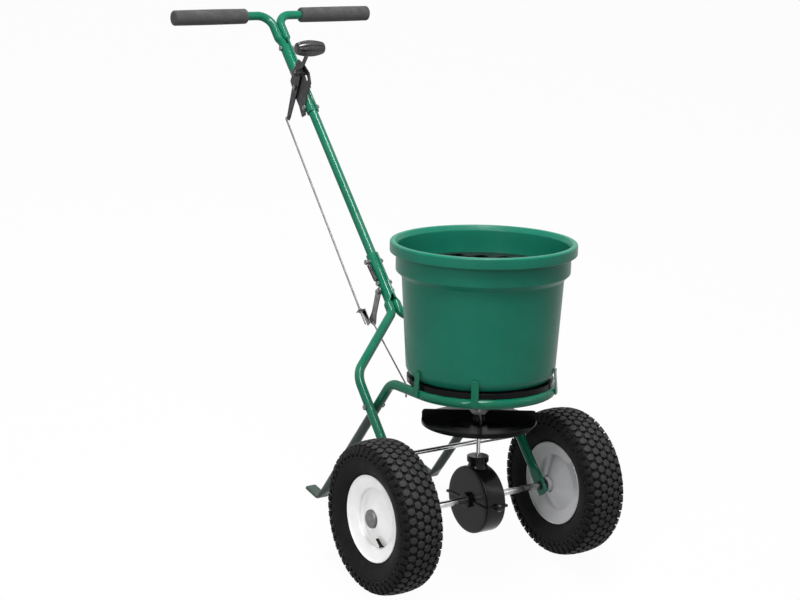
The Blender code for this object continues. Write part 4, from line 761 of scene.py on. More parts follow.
class Effects:
    """Shader groups that several finishes share."""

    def __init__(self) -> None:
        """Build each group once."""
        self.wear_and_highlight = self.edge_wear_and_highlight()
        self.grain = self.fine_grain()
        self.dust = self.settled_dust()
        self.brushed = self.drawn_lines()

    @staticmethod
    def edge_wear_and_highlight() -> bpy.types.NodeTree:
        """Mask of worn edges, which on the tyre also stand for painted highlights: one less the dot of the normal
        and its bevelled self, broken up by noise.

        Returns:
            The group's tree.
        """
        group = EffectGroup("edge wear", {"Radius": 0.0007, "Breakup": 260.0, "Amount": 0.5})
        rounded = group.node("ShaderNodeBevel", {"Radius": group.given["Radius"]}, samples=4).outputs[0]
        flat = group.node("ShaderNodeNewGeometry").outputs["Normal"]
        dot = group.node("ShaderNodeVectorMath", {"0": rounded, "1": flat}, operation="DOT_PRODUCT").outputs["Value"]
        edge = group.ramp(group.math("SUBTRACT", 1.0, dot), 0.02, 0.16)
        broken = group.ramp(group.noise(group.place(), group.given["Breakup"], 4.0), 0.42, 0.62)
        worn = group.math("MULTIPLY", edge, broken)
        return group.finished(Mask=group.math("MULTIPLY", worn, group.given["Amount"], clamp=True))

    @staticmethod
    def fine_grain() -> bpy.types.NodeTree:
        """Height and tone of a fine grain: a small noise over a broad, soft one.

        Returns:
            The group's tree.
        """
        group = EffectGroup("fine grain", {"Scale": 900.0, "Patch": 14.0, "Depth": 1.0})
        place = group.place()
        small = group.noise(place, group.given["Scale"], 2.0)
        broad = group.noise(place, group.given["Patch"], 4.0, 0.6)
        return group.finished(Height=group.math("MULTIPLY", small, group.given["Depth"]),
                              Tone=group.ramp(broad, 0.3, 0.7))

    @staticmethod
    def settled_dust() -> bpy.types.NodeTree:
        """Mask of dust: where the surface looks up, in patches, with specks everywhere.

        Returns:
            The group's tree.
        """
        group = EffectGroup("settled dust", {"Amount": 0.3, "Patch": 22.0, "Speck": 1400.0})
        flat = group.node("ShaderNodeNewGeometry").outputs["Normal"]
        up = group.node("ShaderNodeSeparateXYZ", {"0": flat}).outputs["Z"]
        place = group.place()
        patch = group.noise(place, group.given["Patch"], 5.0)
        speck = group.noise(place, group.given["Speck"], 1.0)
        lying = group.math("MULTIPLY", group.ramp(up, 0.1, 0.95, 0.25, 1.0), group.ramp(patch, 0.38, 0.7))
        total = group.math("ADD", lying, group.ramp(speck, 0.68, 0.8, 0.0, 0.35))
        return group.finished(Mask=group.math("MULTIPLY", total, group.given["Amount"], clamp=True))

    @staticmethod
    def drawn_lines() -> bpy.types.NodeTree:
        """Height and tone of drawn or brushed metal: noise stretched along the machine's X.

        Returns:
            The group's tree.
        """
        group = EffectGroup("drawn lines", {"Across": 2200.0, "Along": 30.0})
        parts = group.parts()
        scaled = {axis: group.math("MULTIPLY", parts[axis], group.given[scale])
                  for axis, scale in (("X", "Along"), ("Y", "Across"), ("Z", "Across"))}
        lines = group.noise(group.node("ShaderNodeCombineXYZ", scaled).outputs[0], 1.0, 3.0)
        return group.finished(Height=lines, Tone=group.ramp(lines, 0.3, 0.7))


# -------- finishes


@dataclass(frozen=True)
class Finish:
    """Base of every finish: one Principled shader and its shared effects.

    The colour is laid on in order: colour and shade mixed by the grain's tone, dust, then rubbed edges, which on the
    tyre are also painted highlights. The roughness is that of the clean surface, plus a share of the dust, plus the
    cloud.

    Attributes:
        name: name of the material.
        slot: slot of the record that it fills.
        colour: main colour, linear.
        shade: darker or lighter tone that patches lean to.
        roughness: roughness of the clean surface.
        grain: fineness of the grain and of its patches.
        dust: amount of dust, and fineness of its patches and specks.
        dust_colour: colour of the dust.
        dust_rough: what full dust adds to the roughness.
        wear_and_highlight: amount and radius of rubbed edges, also painted highlights on the tyre, and fineness of
            their gaps, or nothing.
        rubbed_and_highlight: colour of rubbed edges, and on the tyre of painted highlights as well.
        cloud: output of the grain that changes the roughness, its range and the range of the change, or nothing.
        bump: strength and distance of the bump.
    """

    name: str
    slot: str
    colour: Triple
    shade: Triple
    roughness: float
    grain: Pair = (420.0, 9.0)
    dust: Triple = (0.04, 22.0, 1400.0)
    dust_colour: Triple = (0.30, 0.31, 0.27)
    dust_rough: float = 0.8
    wear_and_highlight: Triple | None = (0.25, 0.0006, 260.0)
    rubbed_and_highlight: Triple = (0.10, 0.26, 0.19)
    cloud: Cloud | None = None
    bump: Pair = (0.012, 0.0004)

    def make(self, effects: Effects) -> Dress:
        """Build the material.

        Args:
            effects: the shared effects.

        Returns:
            The material and its slot.
        """
        material = bpy.data.materials.new(self.name)
        material.use_nodes = True
        graph = Graph(material.node_tree)
        grain = graph.effect(effects.grain, Scale=self.grain[0], Patch=self.grain[1])
        dust = graph.effect(effects.dust, **dict(zip(("Amount", "Patch", "Speck"), self.dust)))["Mask"]
        tone, height = self.under(graph, effects, grain)
        tone = graph.mix(dust, tone, self.dust_colour)
        # rubbed edges; on the tyre these paler edges are also painted highlights on the knobs and sidewall ribs
        if self.wear_and_highlight:
            wear_and_highlight = graph.effect(effects.wear_and_highlight, **dict(zip(("Amount", "Radius", "Breakup"), self.wear_and_highlight)))["Mask"]
            tone = graph.mix(wear_and_highlight, tone, self.rubbed_and_highlight)
        rough = graph.math("ADD", graph.math("MULTIPLY", dust, self.dust_rough), self.roughness, clamp=True)
        if self.cloud:
            source, *ranges = self.cloud
            rough = graph.math("ADD", rough, graph.ramp(grain[source], *ranges), clamp=True)
        graph.fill(material.node_tree.nodes["Principled BSDF"], {
            "Base Color": self.over(graph, tone), "Roughness": rough, "Normal": graph.bump(height, *self.bump),
            **self.levels()})
        return Dress(material, self.slot)

    def under(self, graph: Graph, effects: Effects, grain: Sockets) -> tuple[Socket, Socket]:
        """Tone under the dust, and height of the bump."""
        return graph.mix(grain["Tone"], self.colour, self.shade), grain["Height"]

    def over(self, graph: Graph, tone: Socket) -> Socket:
        """Tone with what lies over the rubbed edges."""
        return tone

    def levels(self) -> dict[str, object]:
        """Sockets of the shader that are the same all over."""
        return {}


@dataclass(frozen=True)
class GreenEnamel(Finish):
    """Glossy green enamel on steel tube, with an orange-peel skin and rubbed edges.

    Attributes:
        darker_below: heights between which the colour turns darker grey downwards, or nothing for an even piece.
        darker_below_colour: the grey that it turns to.
    """

    darker_below: Pair | None = None
    darker_below_colour: Triple = (0.040, 0.050, 0.045)

    def over(self, graph: Graph, tone: Socket) -> Socket:
        """Tone turned darker grey towards the bottom."""
        if not self.darker_below:
            return tone
        return graph.mix(graph.ramp(graph.parts()["Z"], *self.darker_below, 0.92, 0.0), tone, self.darker_below_colour)

    def levels(self) -> dict[str, object]:
        """Thin, smooth clear coat over a dull base."""
        return {"Coat Weight": 0.20, "Coat Roughness": 0.04, "Specular IOR Level": 0.06}


@dataclass(frozen=True)
class MouldedPlastic(Finish):
    """Moulded plastic: a fine spark grain, broad tone and scuffed edges.

    Attributes:
        coat: weight of the clear coat.
        specular: level of the plain gloss.
        scatter: weight of the light that passes under the skin.
    """

    grain: Pair = (1200.0, 7.0)
    dust: Triple = (0.01, 18.0, 1400.0)
    dust_colour: Triple = (0.36, 0.36, 0.33)
    dust_rough: float = 0.5
    wear_and_highlight: Triple | None = (0.45, 0.0009, 180.0)
    rubbed_and_highlight: Triple = (0.06, 0.06, 0.06)
    cloud: Cloud | None = ("Height", 0.35, 0.65, -0.04, 0.05)
    bump: Pair = (0.04, 0.0003)
    coat: float = 0.0
    specular: float = 0.5
    scatter: float = 0.0

    def levels(self) -> dict[str, object]:
        """Coat, gloss and scattered light.

        Returns:
            Socket names and their values.
        """
        gloss = {"Coat Weight": self.coat, "Coat Roughness": 0.12, "Specular IOR Level": self.specular}
        if self.scatter:
            gloss |= {"Subsurface Weight": self.scatter, "Subsurface Radius": (0.001, 0.003, 0.002),
                      "Subsurface Scale": 1.0}
        return gloss


@dataclass(frozen=True)
class WhiteEnamel(Finish):
    """White enamel on pressed steel, greyer on the side that faces the machine.

    Attributes:
        inner: colour of the side that faces the machine.
        plane: distance of the wheel's middle plane from X = 0.
    """

    grain: Pair = (380.0, 26.0)
    dust: Triple = (0.16, 40.0, 1400.0)
    dust_colour: Triple = (0.50, 0.49, 0.46)
    dust_rough: float = 0.9
    wear_and_highlight: Triple | None = (0.30, 0.0007, 260.0)
    rubbed_and_highlight: Triple = (0.55, 0.55, 0.54)
    bump: Pair = (0.05, 0.0004)
    inner: Triple = (0.36, 0.36, 0.37)
    plane: float = 0.228

    def under(self, graph: Graph, effects: Effects, grain: Sockets) -> tuple[Socket, Socket]:
        """Tone under the dust, and height of the bump.

        Args:
            graph: the material's graph.
            effects: the shared effects.
            grain: outputs of the grain.

        Returns:
            The tone and the height.
        """
        tone, height = super().under(graph, effects, grain)
        across = graph.math("ABSOLUTE", graph.parts()["X"])
        inside = graph.ramp(across, self.plane - 0.012, self.plane + 0.002, 1.0, 0.0)
        return graph.mix(inside, tone, self.inner), height

    def levels(self) -> dict[str, object]:
        """Clear coat."""
        return {"Coat Weight": 0.5, "Coat Roughness": 0.10}


@dataclass(frozen=True)
class GripFoam(Finish):
    """Closed-cell foam sleeve: small open cells and a soft sheen.

    Attributes:
        cell: fineness of the cells.
    """

    grain: Pair = (2600.0, 60.0)
    dust: Triple = (0.10, 50.0, 1400.0)
    dust_colour: Triple = (0.25, 0.25, 0.24)
    dust_rough: float = 0.0
    wear_and_highlight: Triple | None = None
    cloud: Cloud | None = ("Tone", 0.0, 1.0, -0.05, 0.05)
    bump: Pair = (0.45, 0.0004)
    cell: float = 1300.0

    def under(self, graph: Graph, effects: Effects, grain: Sockets) -> tuple[Socket, Socket]:
        """Tone under the dust, with painted shade in the cells' pits, and height of the bump with the cells.

        Args:
            graph: the material's graph.
            effects: the shared effects.
            grain: outputs of the grain.

        Returns:
            The tone and the height.
        """
        cells = graph.node("ShaderNodeTexVoronoi", {"Vector": graph.place(), "Scale": self.cell}, feature="F1")
        # the pits of the cells are painted dark with the shade colour, as painted shade in them; they also give the
        # bump's height
        pits_and_shade = graph.ramp(cells.outputs["Distance"], 0.15, 0.6)
        height = graph.math("ADD", pits_and_shade, graph.math("MULTIPLY", grain["Height"], 0.6))
        return graph.mix(pits_and_shade, self.shade, self.colour), height

    def levels(self) -> dict[str, object]:
        """Low gloss and a soft sheen."""
        return {"Specular IOR Level": 0.30, "Sheen Weight": 0.10, "Sheen Roughness": 0.5}


@dataclass(frozen=True)
class Rubber(Finish):
    """Vulcanised rubber, greyed where dust lies, paler on the tops of the tread, and paler at the edges: rubbed wear,
    and a painted highlight that makes the edges and the sidewall ribs catch light.

    Attributes:
        centre: place of the wheel's axis as (y, z).
        plane: distance of the wheel's middle plane from X = 0.
        tread: distances from the axis between which the grooves turn into the paler tops, or nothing.
        crown: fall of the tops away from that plane, as a factor of the distance's square.
        top: colour of the tops.
    """

    grain: Pair = (1100.0, 34.0)
    dust: Triple = (0.05, 60.0, 1800.0)
    dust_colour: Triple = (0.14, 0.135, 0.125)
    dust_rough: float = 0.0
    # paler edges: rubbed wear, and a painted highlight that makes the sidewall ribs catch light
    wear_and_highlight: Triple | None = (0.8, 0.0012, 420.0)
    rubbed_and_highlight: Triple = (0.085, 0.085, 0.083)
    cloud: Cloud | None = ("Tone", 0.0, 1.0, -0.05, 0.07)
    bump: Pair = (0.25, 0.0004)
    centre: Pair = (0.0, 0.0)
    plane: float = 0.228
    tread: Pair | None = None
    crown: float = 3.2
    top: Triple = (0.026, 0.026, 0.027)

    def tread_tops(self, graph: Graph) -> Socket:
        """Share of a tread's top: the distance from the axis plus the crown's fall, eased over the tread's range.

        Args:
            graph: the material's graph.

        Returns:
            The share, nought in the grooves.
        """
        parts = graph.parts()
        aside = graph.math("SUBTRACT", parts["Y"], self.centre[0])
        above = graph.math("SUBTRACT", parts["Z"], self.centre[1])
        across = graph.math("SUBTRACT", graph.math("ABSOLUTE", parts["X"]), self.plane)
        aside, above, across = (graph.math("MULTIPLY", part, part) for part in (aside, above, across))
        away = graph.math("SQRT", graph.math("ADD", aside, above))
        return graph.ramp(graph.math("ADD", away, graph.math("MULTIPLY", across, self.crown)), *self.tread)

    def under(self, graph: Graph, effects: Effects, grain: Sockets) -> tuple[Socket, Socket]:
        """Tone under the dust, and height of the bump."""
        tone, height = super().under(graph, effects, grain)
        return graph.mix(self.tread_tops(graph), tone, self.top) if self.tread else tone, height

    def levels(self) -> dict[str, object]:
        """Low gloss."""
        return {"Specular IOR Level": 0.05}


@dataclass(frozen=True)
class PlatedSteel(Finish):
    """Zinc-plated or bare steel: cloudy tone, fine lines and dulled patches.

    Attributes:
        metallic: how metallic it is.
        tone: how far the lines lean to the shade.
    """

    grain: Pair = (650.0, 90.0)
    dust: Triple = (0.35, 70.0, 1400.0)
    dust_colour: Triple = (0.16, 0.15, 0.14)
    dust_rough: float = 0.4
    wear_and_highlight: Triple | None = None
    cloud: Cloud | None = ("Tone", 0.0, 1.0, -0.05, 0.08)
    bump: Pair = (0.08, 0.0002)
    metallic: float = 0.9
    tone: float = 0.25

    def under(self, graph: Graph, effects: Effects, grain: Sockets) -> tuple[Socket, Socket]:
        """Tone under the dulled patches, and height of the bump, both with the lines.

        Args:
            graph: the material's graph.
            effects: the shared effects.
            grain: outputs of the grain.

        Returns:
            The tone and the height.
        """
        lines = graph.effect(effects.brushed, Across=1800.0, Along=40.0)
        streak = graph.math("MULTIPLY", lines["Tone"], self.tone)
        return graph.mix(streak, super().under(graph, effects, grain)[0], self.shade), lines["Height"]

    def levels(self) -> dict[str, object]:
        """Metal."""
        return {"Metallic": self.metallic}


class Finishes:
    """Every material of the machine."""

    def __init__(self, origin: Triple) -> None:
        """Build each material once.

        Args:
            origin: world place of the axle's middle.
        """
        fx = Effects()
        green = ((0.002, 0.112, 0.062), (0.001, 0.090, 0.048), 0.13)
        jet = ((0.003, 0.003, 0.0035), (0.005, 0.005, 0.0055))
        moulded = "black_plastic"
        self.enamel = GreenEnamel("green enamel", "green_enamel", *green).make(fx)
        # the legs turn darker grey towards the feet, between these heights
        self.leg_enamel = GreenEnamel("leg enamel", "green_enamel", *green, darker_below=(0.255, 0.335)).make(fx)
        self.hopper = MouldedPlastic("green moulding", "green_plastic", (0.006, 0.128, 0.080), (0.005, 0.108, 0.068),
                                     0.36, grain=(1700.0, 7.0), bump=(0.06, 0.0003), rubbed_and_highlight=(0.05, 0.22, 0.15),
                                     dust=(0.015, 18.0, 1400.0), coat=0.03, specular=0.13, scatter=0.05).make(fx)
        self.black = MouldedPlastic("black moulding", moulded, (0.004, 0.004, 0.0045), (0.007, 0.007, 0.0075), 0.26,
                                    grain=(1300.0, 7.0), bump=(0.06, 0.0003), rubbed_and_highlight=(0.05, 0.05, 0.05),
                                    dust=(0.02, 18.0, 1400.0), specular=0.22).make(fx)
        self.gear_case = MouldedPlastic("gear case moulding", moulded, *jet, 0.20, specular=0.18).make(fx)
        self.matt_black = MouldedPlastic("matt black moulding", moulded, *jet, 0.22, rubbed_and_highlight=(0.05, 0.05, 0.05),
                                         specular=0.06).make(fx)
        self.knob = MouldedPlastic("knob moulding", moulded, (0.005, 0.005, 0.0055), (0.008, 0.008, 0.0085), 0.24,
                                   bump=(0.05, 0.0003), dust=(0.03, 18.0, 1400.0), specular=0.55).make(fx)
        self.white = WhiteEnamel("white enamel", "white_enamel", (0.87, 0.87, 0.86), (0.81, 0.81, 0.80),
                                 0.28).make(fx)
        self.foam = GripFoam("grip foam", "grip_foam", (0.040, 0.040, 0.041), (0.010, 0.010, 0.010), 0.90).make(fx)
        self.tyre = Rubber("tyre rubber", "tyre_rubber", (0.007, 0.007, 0.007), (0.010, 0.010, 0.010), 0.54,
                           centre=origin[1:], tread=(0.1522, 0.1546)).make(fx)
        self.valve = Rubber("valve rubber", "valve_rubber", (0.010, 0.010, 0.010), (0.015, 0.015, 0.015), 0.5,
                            dust=(0.08, 60.0, 1800.0)).make(fx)
        self.zinc = PlatedSteel("zinc plate", "zinc_plate", (0.21, 0.21, 0.215), (0.14, 0.14, 0.145), 0.34).make(fx)
        self.dulled = PlatedSteel("dulled plate", "zinc_plate", (0.052, 0.052, 0.056), (0.032, 0.032, 0.036),
                                  0.38).make(fx)
        self.steel = PlatedSteel("bright steel", "bright_steel", (0.62, 0.62, 0.62), (0.50, 0.50, 0.50), 0.18,
                                 metallic=1.0, bump=(0.008, 0.0002), dust=(0.06, 70.0, 1400.0), tone=0.06).make(fx)
        self.drawn = PlatedSteel("drawn rod", "bright_steel", (0.15, 0.15, 0.155), (0.12, 0.12, 0.125), 0.52,
                                 metallic=0.5, bump=(0.0, 0.0002), dust=(0.05, 70.0, 1400.0), tone=0.04).make(fx)
        self.spring = PlatedSteel("spring steel", "spring_steel", (0.07, 0.07, 0.075), (0.04, 0.04, 0.045), 0.34,
                                  metallic=1.0, dust=(0.3, 70.0, 1400.0)).make(fx)


# -------- round stock and bolts


def lathe(profile: Points, sides: int, origin: Points, axis: Points, swell: Points | None = None) -> Points:
    """Spin a profile of (distance along, radius) round any axis.

    Args:
        profile: rows of (along, radius).
        sides: points round each ring.
        origin: where the distance along is nought.
        axis: direction of the axis.
        swell: radius factors, (n, sides).

    Returns:
        Grid of the points origin + along·axis + r·(cos a · side + sin a · upright).
    """
    ahead = unit(axis)
    guide = X_AXIS if abs(ahead[0]) < 0.9 else np.array([0.0, 1.0, 0.0])
    side = unit(guide - ahead * (guide @ ahead))
    upright = np.cross(ahead, side)
    flat = turned(profile, sides, swell=swell)
    return origin + flat[..., :1] * side + flat[..., 1:2] * upright + flat[..., 2:] * ahead


def hexagon(sides: int, round_off: float = 0.985) -> Points:
    """Radius of a hexagon of corner radius one.

    It is cos 30° over the cosine of the angle to the nearest flat's middle, held under the corner's round-off.

    Args:
        sides: points round it.
        round_off: largest radius.

    Returns:
        The radius at each point.
    """
    nearest = (spread(sides) % (pi / 3)) - pi / 6
    return np.minimum(cos(pi / 6) / np.cos(nearest), round_off)


@dataclass(frozen=True)
class Bolt:
    """Hexagon bolt with its nut.

    Attributes:
        head: where the head's seat lies along the axis.
        nut: where the nut's seat lies.
        shank: shank radius.
        across: corner radius of head and nut.
        height: height of head and nut.
        tail: thread past the nut.
        collar: start, end and radius of a spacer on the shank.
    """

    head: float
    nut: float
    shank: float = BOLT_RADIUS
    across: float = 0.0062
    height: float = 0.0036
    tail: float = 0.003
    collar: Triple | None = None

    def shell(self, origin: Points, axis: Points) -> Shell:
        """Skin the bolt: rings whose radius is the smaller of the hexagon's and a chamfer cone's.

        Args:
            origin: where distances along the bolt start from.
            axis: its direction, from head to nut.

        Returns:
            The bolt.
        """
        r, h = self.across, self.height
        end = [(h, 0.78 * r, 0), (h - 0.0003, 0.90 * r, 1), (h - 0.0010, r, 1), (0.0003, r, 1), (0.0, 0.93 * r, 1)]
        rows = [(self.head - t, radius, six) for t, radius, six in end]
        rows.append((self.head, self.shank, 0))
        if self.collar:
            start, stop, radius = self.collar
            rows += [(start, self.shank, 0), (start, radius - 0.0003, 0), (start + 0.0003, radius, 0),
                     (stop - 0.0003, radius, 0), (stop, radius - 0.0003, 0), (stop, self.shank, 0)]
        rows.append((self.nut, self.shank, 0))
        rows += [(self.nut + t, radius, six) for t, radius, six in reversed(end)]
        thread = self.nut + h
        rows.append((thread, self.shank, 0))
        turns = max(2, int(self.tail / 0.0004))
        for index in range(1, turns):
            depth = 0.0003 if index % 2 else 0.0
            rows.append((thread + self.tail * index / turns, self.shank - depth, 0))
        rows.append((thread + self.tail, self.shank - 0.0007, 0))
        table = np.array(rows)
        sides = 48
        six = np.minimum(hexagon(sides)[None] * r, table[:, 1:2])
        swell = np.where(table[:, 2:] > 0, six / table[:, 1:2], 1.0)
        return Shell().skin(lathe(table[:, :2], sides, origin, axis, swell))


# -------- frame and handle


@dataclass
class SubAssembly:
    """Base of every sub-assembly: where its pieces are made, and what they are dressed in."""

    bench: Bench
    finishes: Finishes

    @property
    def frame(self) -> MachineFrame:
        """The machine frame."""
        return self.bench.frame


LIP = 0.0006
EASING = (0.2, 0.4, 0.6, 0.8)


def both_ends(half: list[Pair]) -> Points:
    """Profile of an even piece, from its right half: the mirrored half first."""
    return np.array([(-along, radius) for along, radius in reversed(half)] + half)


@dataclass
class TubeFrame(SubAssembly):
    """Green tube frame: post, side tubes, handlebars, ring with rear legs, brace, straps and bushes."""

    tube_radius: float = 0.010
    post_radius: float = 0.0105
    saddle_wall: float = 0.0032
    saddle_angle: float = radians(75)
    post_low: float = -0.008
    post_top: float = 0.663
    frame_saddle: Pair = (0.098, -0.014)
    frame_round: float = -0.0262
    frame_top_bend: float = -0.048
    low_bend: Pair = (0.2024, 0.2388)
    frame_x: float = 0.1663
    ear_radius: float = 0.016
    ear_thickness: float = 0.008
    ear_end: float = 0.0185
    grip_saddle: Pair = (0.477, 0.672)
    grip_round: float = 0.684
    grip_line: float = 0.750
    grip_start: float = 0.072
    grip_length: float = 0.185
    grip_radius: float = 0.0176
    grip_bend: float = 0.062
    ring_radius: float = 0.146
    ring_height: float = 0.2393
    leg_bend_y: float = 0.1044
    foot_bend_y: float = 0.368
    foot_length: float = 0.048
    foot_width: float = 0.028
    foot_thickness: float = 0.008
    wheel_radius: float = 0.156
    press_start: float = 3.3
    press_end: float = 1.6
    bush_barrel: float = 0.0100
    brace_y: float = 0.078
    brace_radius: float = 0.005
    bolts: tuple[Pair, ...] = ((0.656, 0.0), (0.491, 0.0), (0.081, 0.0), (0.0265, 0.0), (0.547, 0.0), (0.008, -0.004))
    sides: int = 48

    @property
    def saddle_outer(self) -> float:
        """Outer radius of a saddle."""
        return self.post_radius + GAP + self.saddle_wall

    @property
    def saddle_middle(self) -> float:
        """Radius of the middle of a saddle's wall."""
        return self.post_radius + GAP + self.saddle_wall / 2

    def build(self) -> None:
        """Make every piece of the frame."""
        self.post()
        for side in Side:
            self.side_tube(side)
            self.handlebar(side)
            self.grip(side)
            self.bush(side)
        self.ring_stand()
        self.brace()
        for index in range(1, 5):
            self.bench.refined(f"strap_{index}", f"hopper_strap_{index}", self.finishes.enamel, edge=0.0005)

    def bolt_cutters(self) -> list[Shell]:
        """Holes for the bolts along the handle line."""
        places = [self.frame.on_handle(0, along, out) for along, out in self.bolts]
        return [rod_x(-0.03, 0.03, BOLT_HOLE, place[1], place[2], 24) for place in places]

    def post(self) -> None:
        """Main handle tube: a straight pipe with bored ends."""
        r, wall, lip = self.post_radius, 0.0016, 0.0004
        low, top = self.post_low, self.post_top
        profile = np.array([(low + 0.03, r - wall), (low, r - wall), (low, r - lip), (low + lip, r), (top - lip, r),
                            (top, r - lip), (top, r - wall), (top - 0.03, r - wall)])
        grid = lathe(profile, self.sides, self.frame.on_handle(0, 0), self.frame.along)
        self.bench.place("post_tube", "handle_post", Shell().skin(grid), self.finishes.enamel,
                         cutters=self.bolt_cutters())

    def saddle(self) -> Points:
        """Crescent that hugs the post.

        For an angle t of the section from -90° to 90° the point lies on the outer arc at 75/90 of t, and past 90°
        on the inner arc. Near the two lips the radius eases from one to the other.

        Returns:
            The section, round the middle of its wall.
        """
        t = np.degrees(spread(self.sides)) - 90.0
        outer = t <= 90.0
        angle = np.where(outer, t, 180.0 - t) * (np.degrees(self.saddle_angle) / 90.0)
        lip = np.minimum(np.abs(t - 90.0), np.minimum(np.abs(t + 90.0), np.abs(t - 270.0)))
        share = 0.5 + 0.5 * smooth_step(lip / 9.0) * np.where(outer, 1.0, -1.0)
        inner = self.post_radius + GAP
        radius = inner + (self.saddle_outer - inner) * share
        rad = np.radians(angle)
        return np.stack([radius * np.cos(rad) - self.saddle_middle, radius * np.sin(rad)], axis=-1)

    def saddle_path(self, start: float, end: float, round_at: float) -> list[Points]:
        """Path along a saddle, and out from it in even steps to where the tube is round.

        Args:
            start: where the saddle starts along the handle.
            end: where it ends.
            round_at: where the tube is round.

        Returns:
            Points of the path.
        """
        places = [(self.saddle_middle, along) for along in (start, start + copysign(LIP, end - start), end)]
        reach = self.tube_radius + GAP - self.saddle_middle
        places += [(self.saddle_middle + reach * share, end + (round_at - end) * share) for share in EASING]
        return [self.frame.on_handle(*place) for place in places]

    def saddle_rings(self, saddle: Points, straight: int) -> list[Points]:
        """Sections along that path and along the round tube after it.

        Args:
            saddle: the saddle's section.
            straight: points of the path on the round tube.

        Returns:
            Groups of sections.
        """
        tube = circle(self.tube_radius, self.sides)
        return [(saddle * 0.97 + saddle.mean(axis=0) * 0.03)[None], saddle[None], saddle[None],
                blend_rings(saddle, tube, len(EASING)), np.broadcast_to(tube, (straight, *tube.shape))]

    def side_tube(self, side: Side) -> None:
        """Side tube: saddle on the post, two bends, and an ear pressed flat for the axle bush.

        Args:
            side: which of the two.
        """
        at = self.frame.on_handle
        tube_side = self.tube_radius + GAP
        ear_centre = np.array([self.frame_x, 0.0, 0.0])
        low_bend = np.array([self.frame_x, *self.low_bend])
        slope = unit(low_bend - ear_centre)
        ear_start = ear_centre + slope * self.press_start * self.ear_radius
        bends = filleted([at(tube_side, self.frame_round), at(tube_side, self.frame_top_bend), low_bend, ear_start],
                         [0.045, 0.060], radians(4))
        straight = spaced(bends, 0.03)
        flat = pressed(self.ear_thickness / 2, self.ear_radius, self.sides, flat_side=True)
        shares = np.linspace(0.12, 1.0, 8)
        pressing = [ear_start + (slope * (self.press_end - self.press_start) * self.ear_radius) * share
                    for share in shares]
        tip = [ear_centre - slope * (self.ear_end - inset) for inset in (0.0022, LIP, 0.0)]
        path = np.vstack([self.saddle_path(*self.frame_saddle, self.frame_round), straight, pressing, tip])
        share = smooth_step(shares)[:, None, None]
        sections = np.concatenate([
            *self.saddle_rings(self.saddle(), len(straight)),
            circle(self.tube_radius, self.sides) * (1 - share) + flat * share,
            flat[None], (flat * 0.97)[None], (flat * 0.90)[None]])
        shell = Shell().skin(carried(path, sections, fixed=True))
        crossing, brace = self.crossing(), self.brace_place()
        near, far = self.frame_x - 0.02, self.frame_x + 0.02
        holes = self.bolt_cutters()
        cutters = [*holes[2:4], *holes[5:], rod_x(near, far, self.bush_barrel + GAP),
                   rod_x(near - 0.02, far, BOLT_HOLE, crossing[1], crossing[2], 24),
                   rod_x(near, far, BOLT_HOLE, brace[1], brace[2], 24)]
        self.bench.place(f"side_tube_{side.label}", f"frame_tube_{side.label}", shell.on_side(side),
                         self.finishes.enamel, cutters=[cutter.on_side(side) for cutter in cutters],
                         sharp=radians(50))

    def handlebar(self, side: Side) -> None:
        """Handlebar: saddle on the post's top, then a bend out to the grip.

        The saddle is drawn for a path that runs down the handle, so it is turned over for one that runs up it.

        Args:
            side: which of the two.
        """
        at = self.frame.on_handle
        tube_side = self.tube_radius + GAP
        end = self.grip_start + self.grip_length - 0.006 - GAP
        bends = filleted([at(tube_side, self.grip_round), at(tube_side, self.grip_line), at(end, self.grip_line)],
                         [self.grip_bend], radians(5))
        straight = spaced(bends, 0.03)
        saddle = self.saddle() * np.array([1.0, -1.0])
        saddle = np.roll(saddle[::-1], self.sides // 2 + 1, axis=0)
        path = np.vstack([self.saddle_path(*self.grip_saddle, self.grip_round), straight])
        shell = Shell().skin(carried(path, np.concatenate(self.saddle_rings(saddle, len(straight)))))
        holes = self.bolt_cutters()
        self.bench.place(f"bar_{side.label}", f"handlebar_{side.label}", shell.on_side(side), self.finishes.enamel,
                         cutters=[cutter.on_side(side) for cutter in holes[:2] + holes[4:5]], sharp=radians(50))

    def grip(self, side: Side) -> None:
        """Foam sleeve, a little fuller in the middle, with rounded ends.

        Args:
            side: which of the two.
        """
        start, end = self.grip_start, self.grip_start + self.grip_length
        r, edge = self.grip_radius, 0.0035
        bore = self.tube_radius + GAP
        body = np.linspace(start + edge, end - edge, 24)
        shape = r - 0.0004 + 0.0004 * np.sin(np.linspace(0, pi, 24))
        lip = [(start + edge * (1 - sin(a)), r - 0.0004 - edge * (1 - cos(a))) for a in np.linspace(pi / 2, 0, 7)[:-1]]
        cap = [(end - edge * (1 - sin(a)), r - 0.0004 - edge * (1 - cos(a))) for a in np.linspace(0, pi / 2, 7)[1:]]
        profile = np.array([(end - 0.006, bore), (start, bore), *lip, *zip(body, shape), *cap, (end, 0.004)])
        grid = lathe(profile, 64, self.frame.on_handle(0, self.grip_line), X_AXIS)
        self.bench.place(f"foam_{side.label}", f"grip_{side.label}", Shell().skin(grid).on_side(side),
                         self.finishes.foam)

    def foot_height(self, y: float) -> float:
        """Height of a foot's middle that stands on the ground when parked."""
        lean = self.frame.lean
        return (self.foot_thickness / 2 - self.wheel_radius + y * sin(lean)) / cos(lean)

    def brace_place(self) -> Points:
        """Where the brace rod crosses the machine's middle plane."""
        return np.array([0.0, self.brace_y, self.brace_y * self.low_bend[1] / self.low_bend[0]])

    def crossing(self) -> Points:
        """Where the rear leg crosses the side tube, seen from the side.

        Returns:
            The point, at X = 0.
        """
        low_y, low_z = self.foot_bend_y, self.foot_height(self.foot_bend_y)
        slope = (low_z - self.ring_height) / (low_y - self.leg_bend_y)
        tube = self.low_bend[1] / self.low_bend[0]
        y = (self.ring_height - slope * self.leg_bend_y) / (tube - slope)
        return np.array([0.0, y, tube * y])

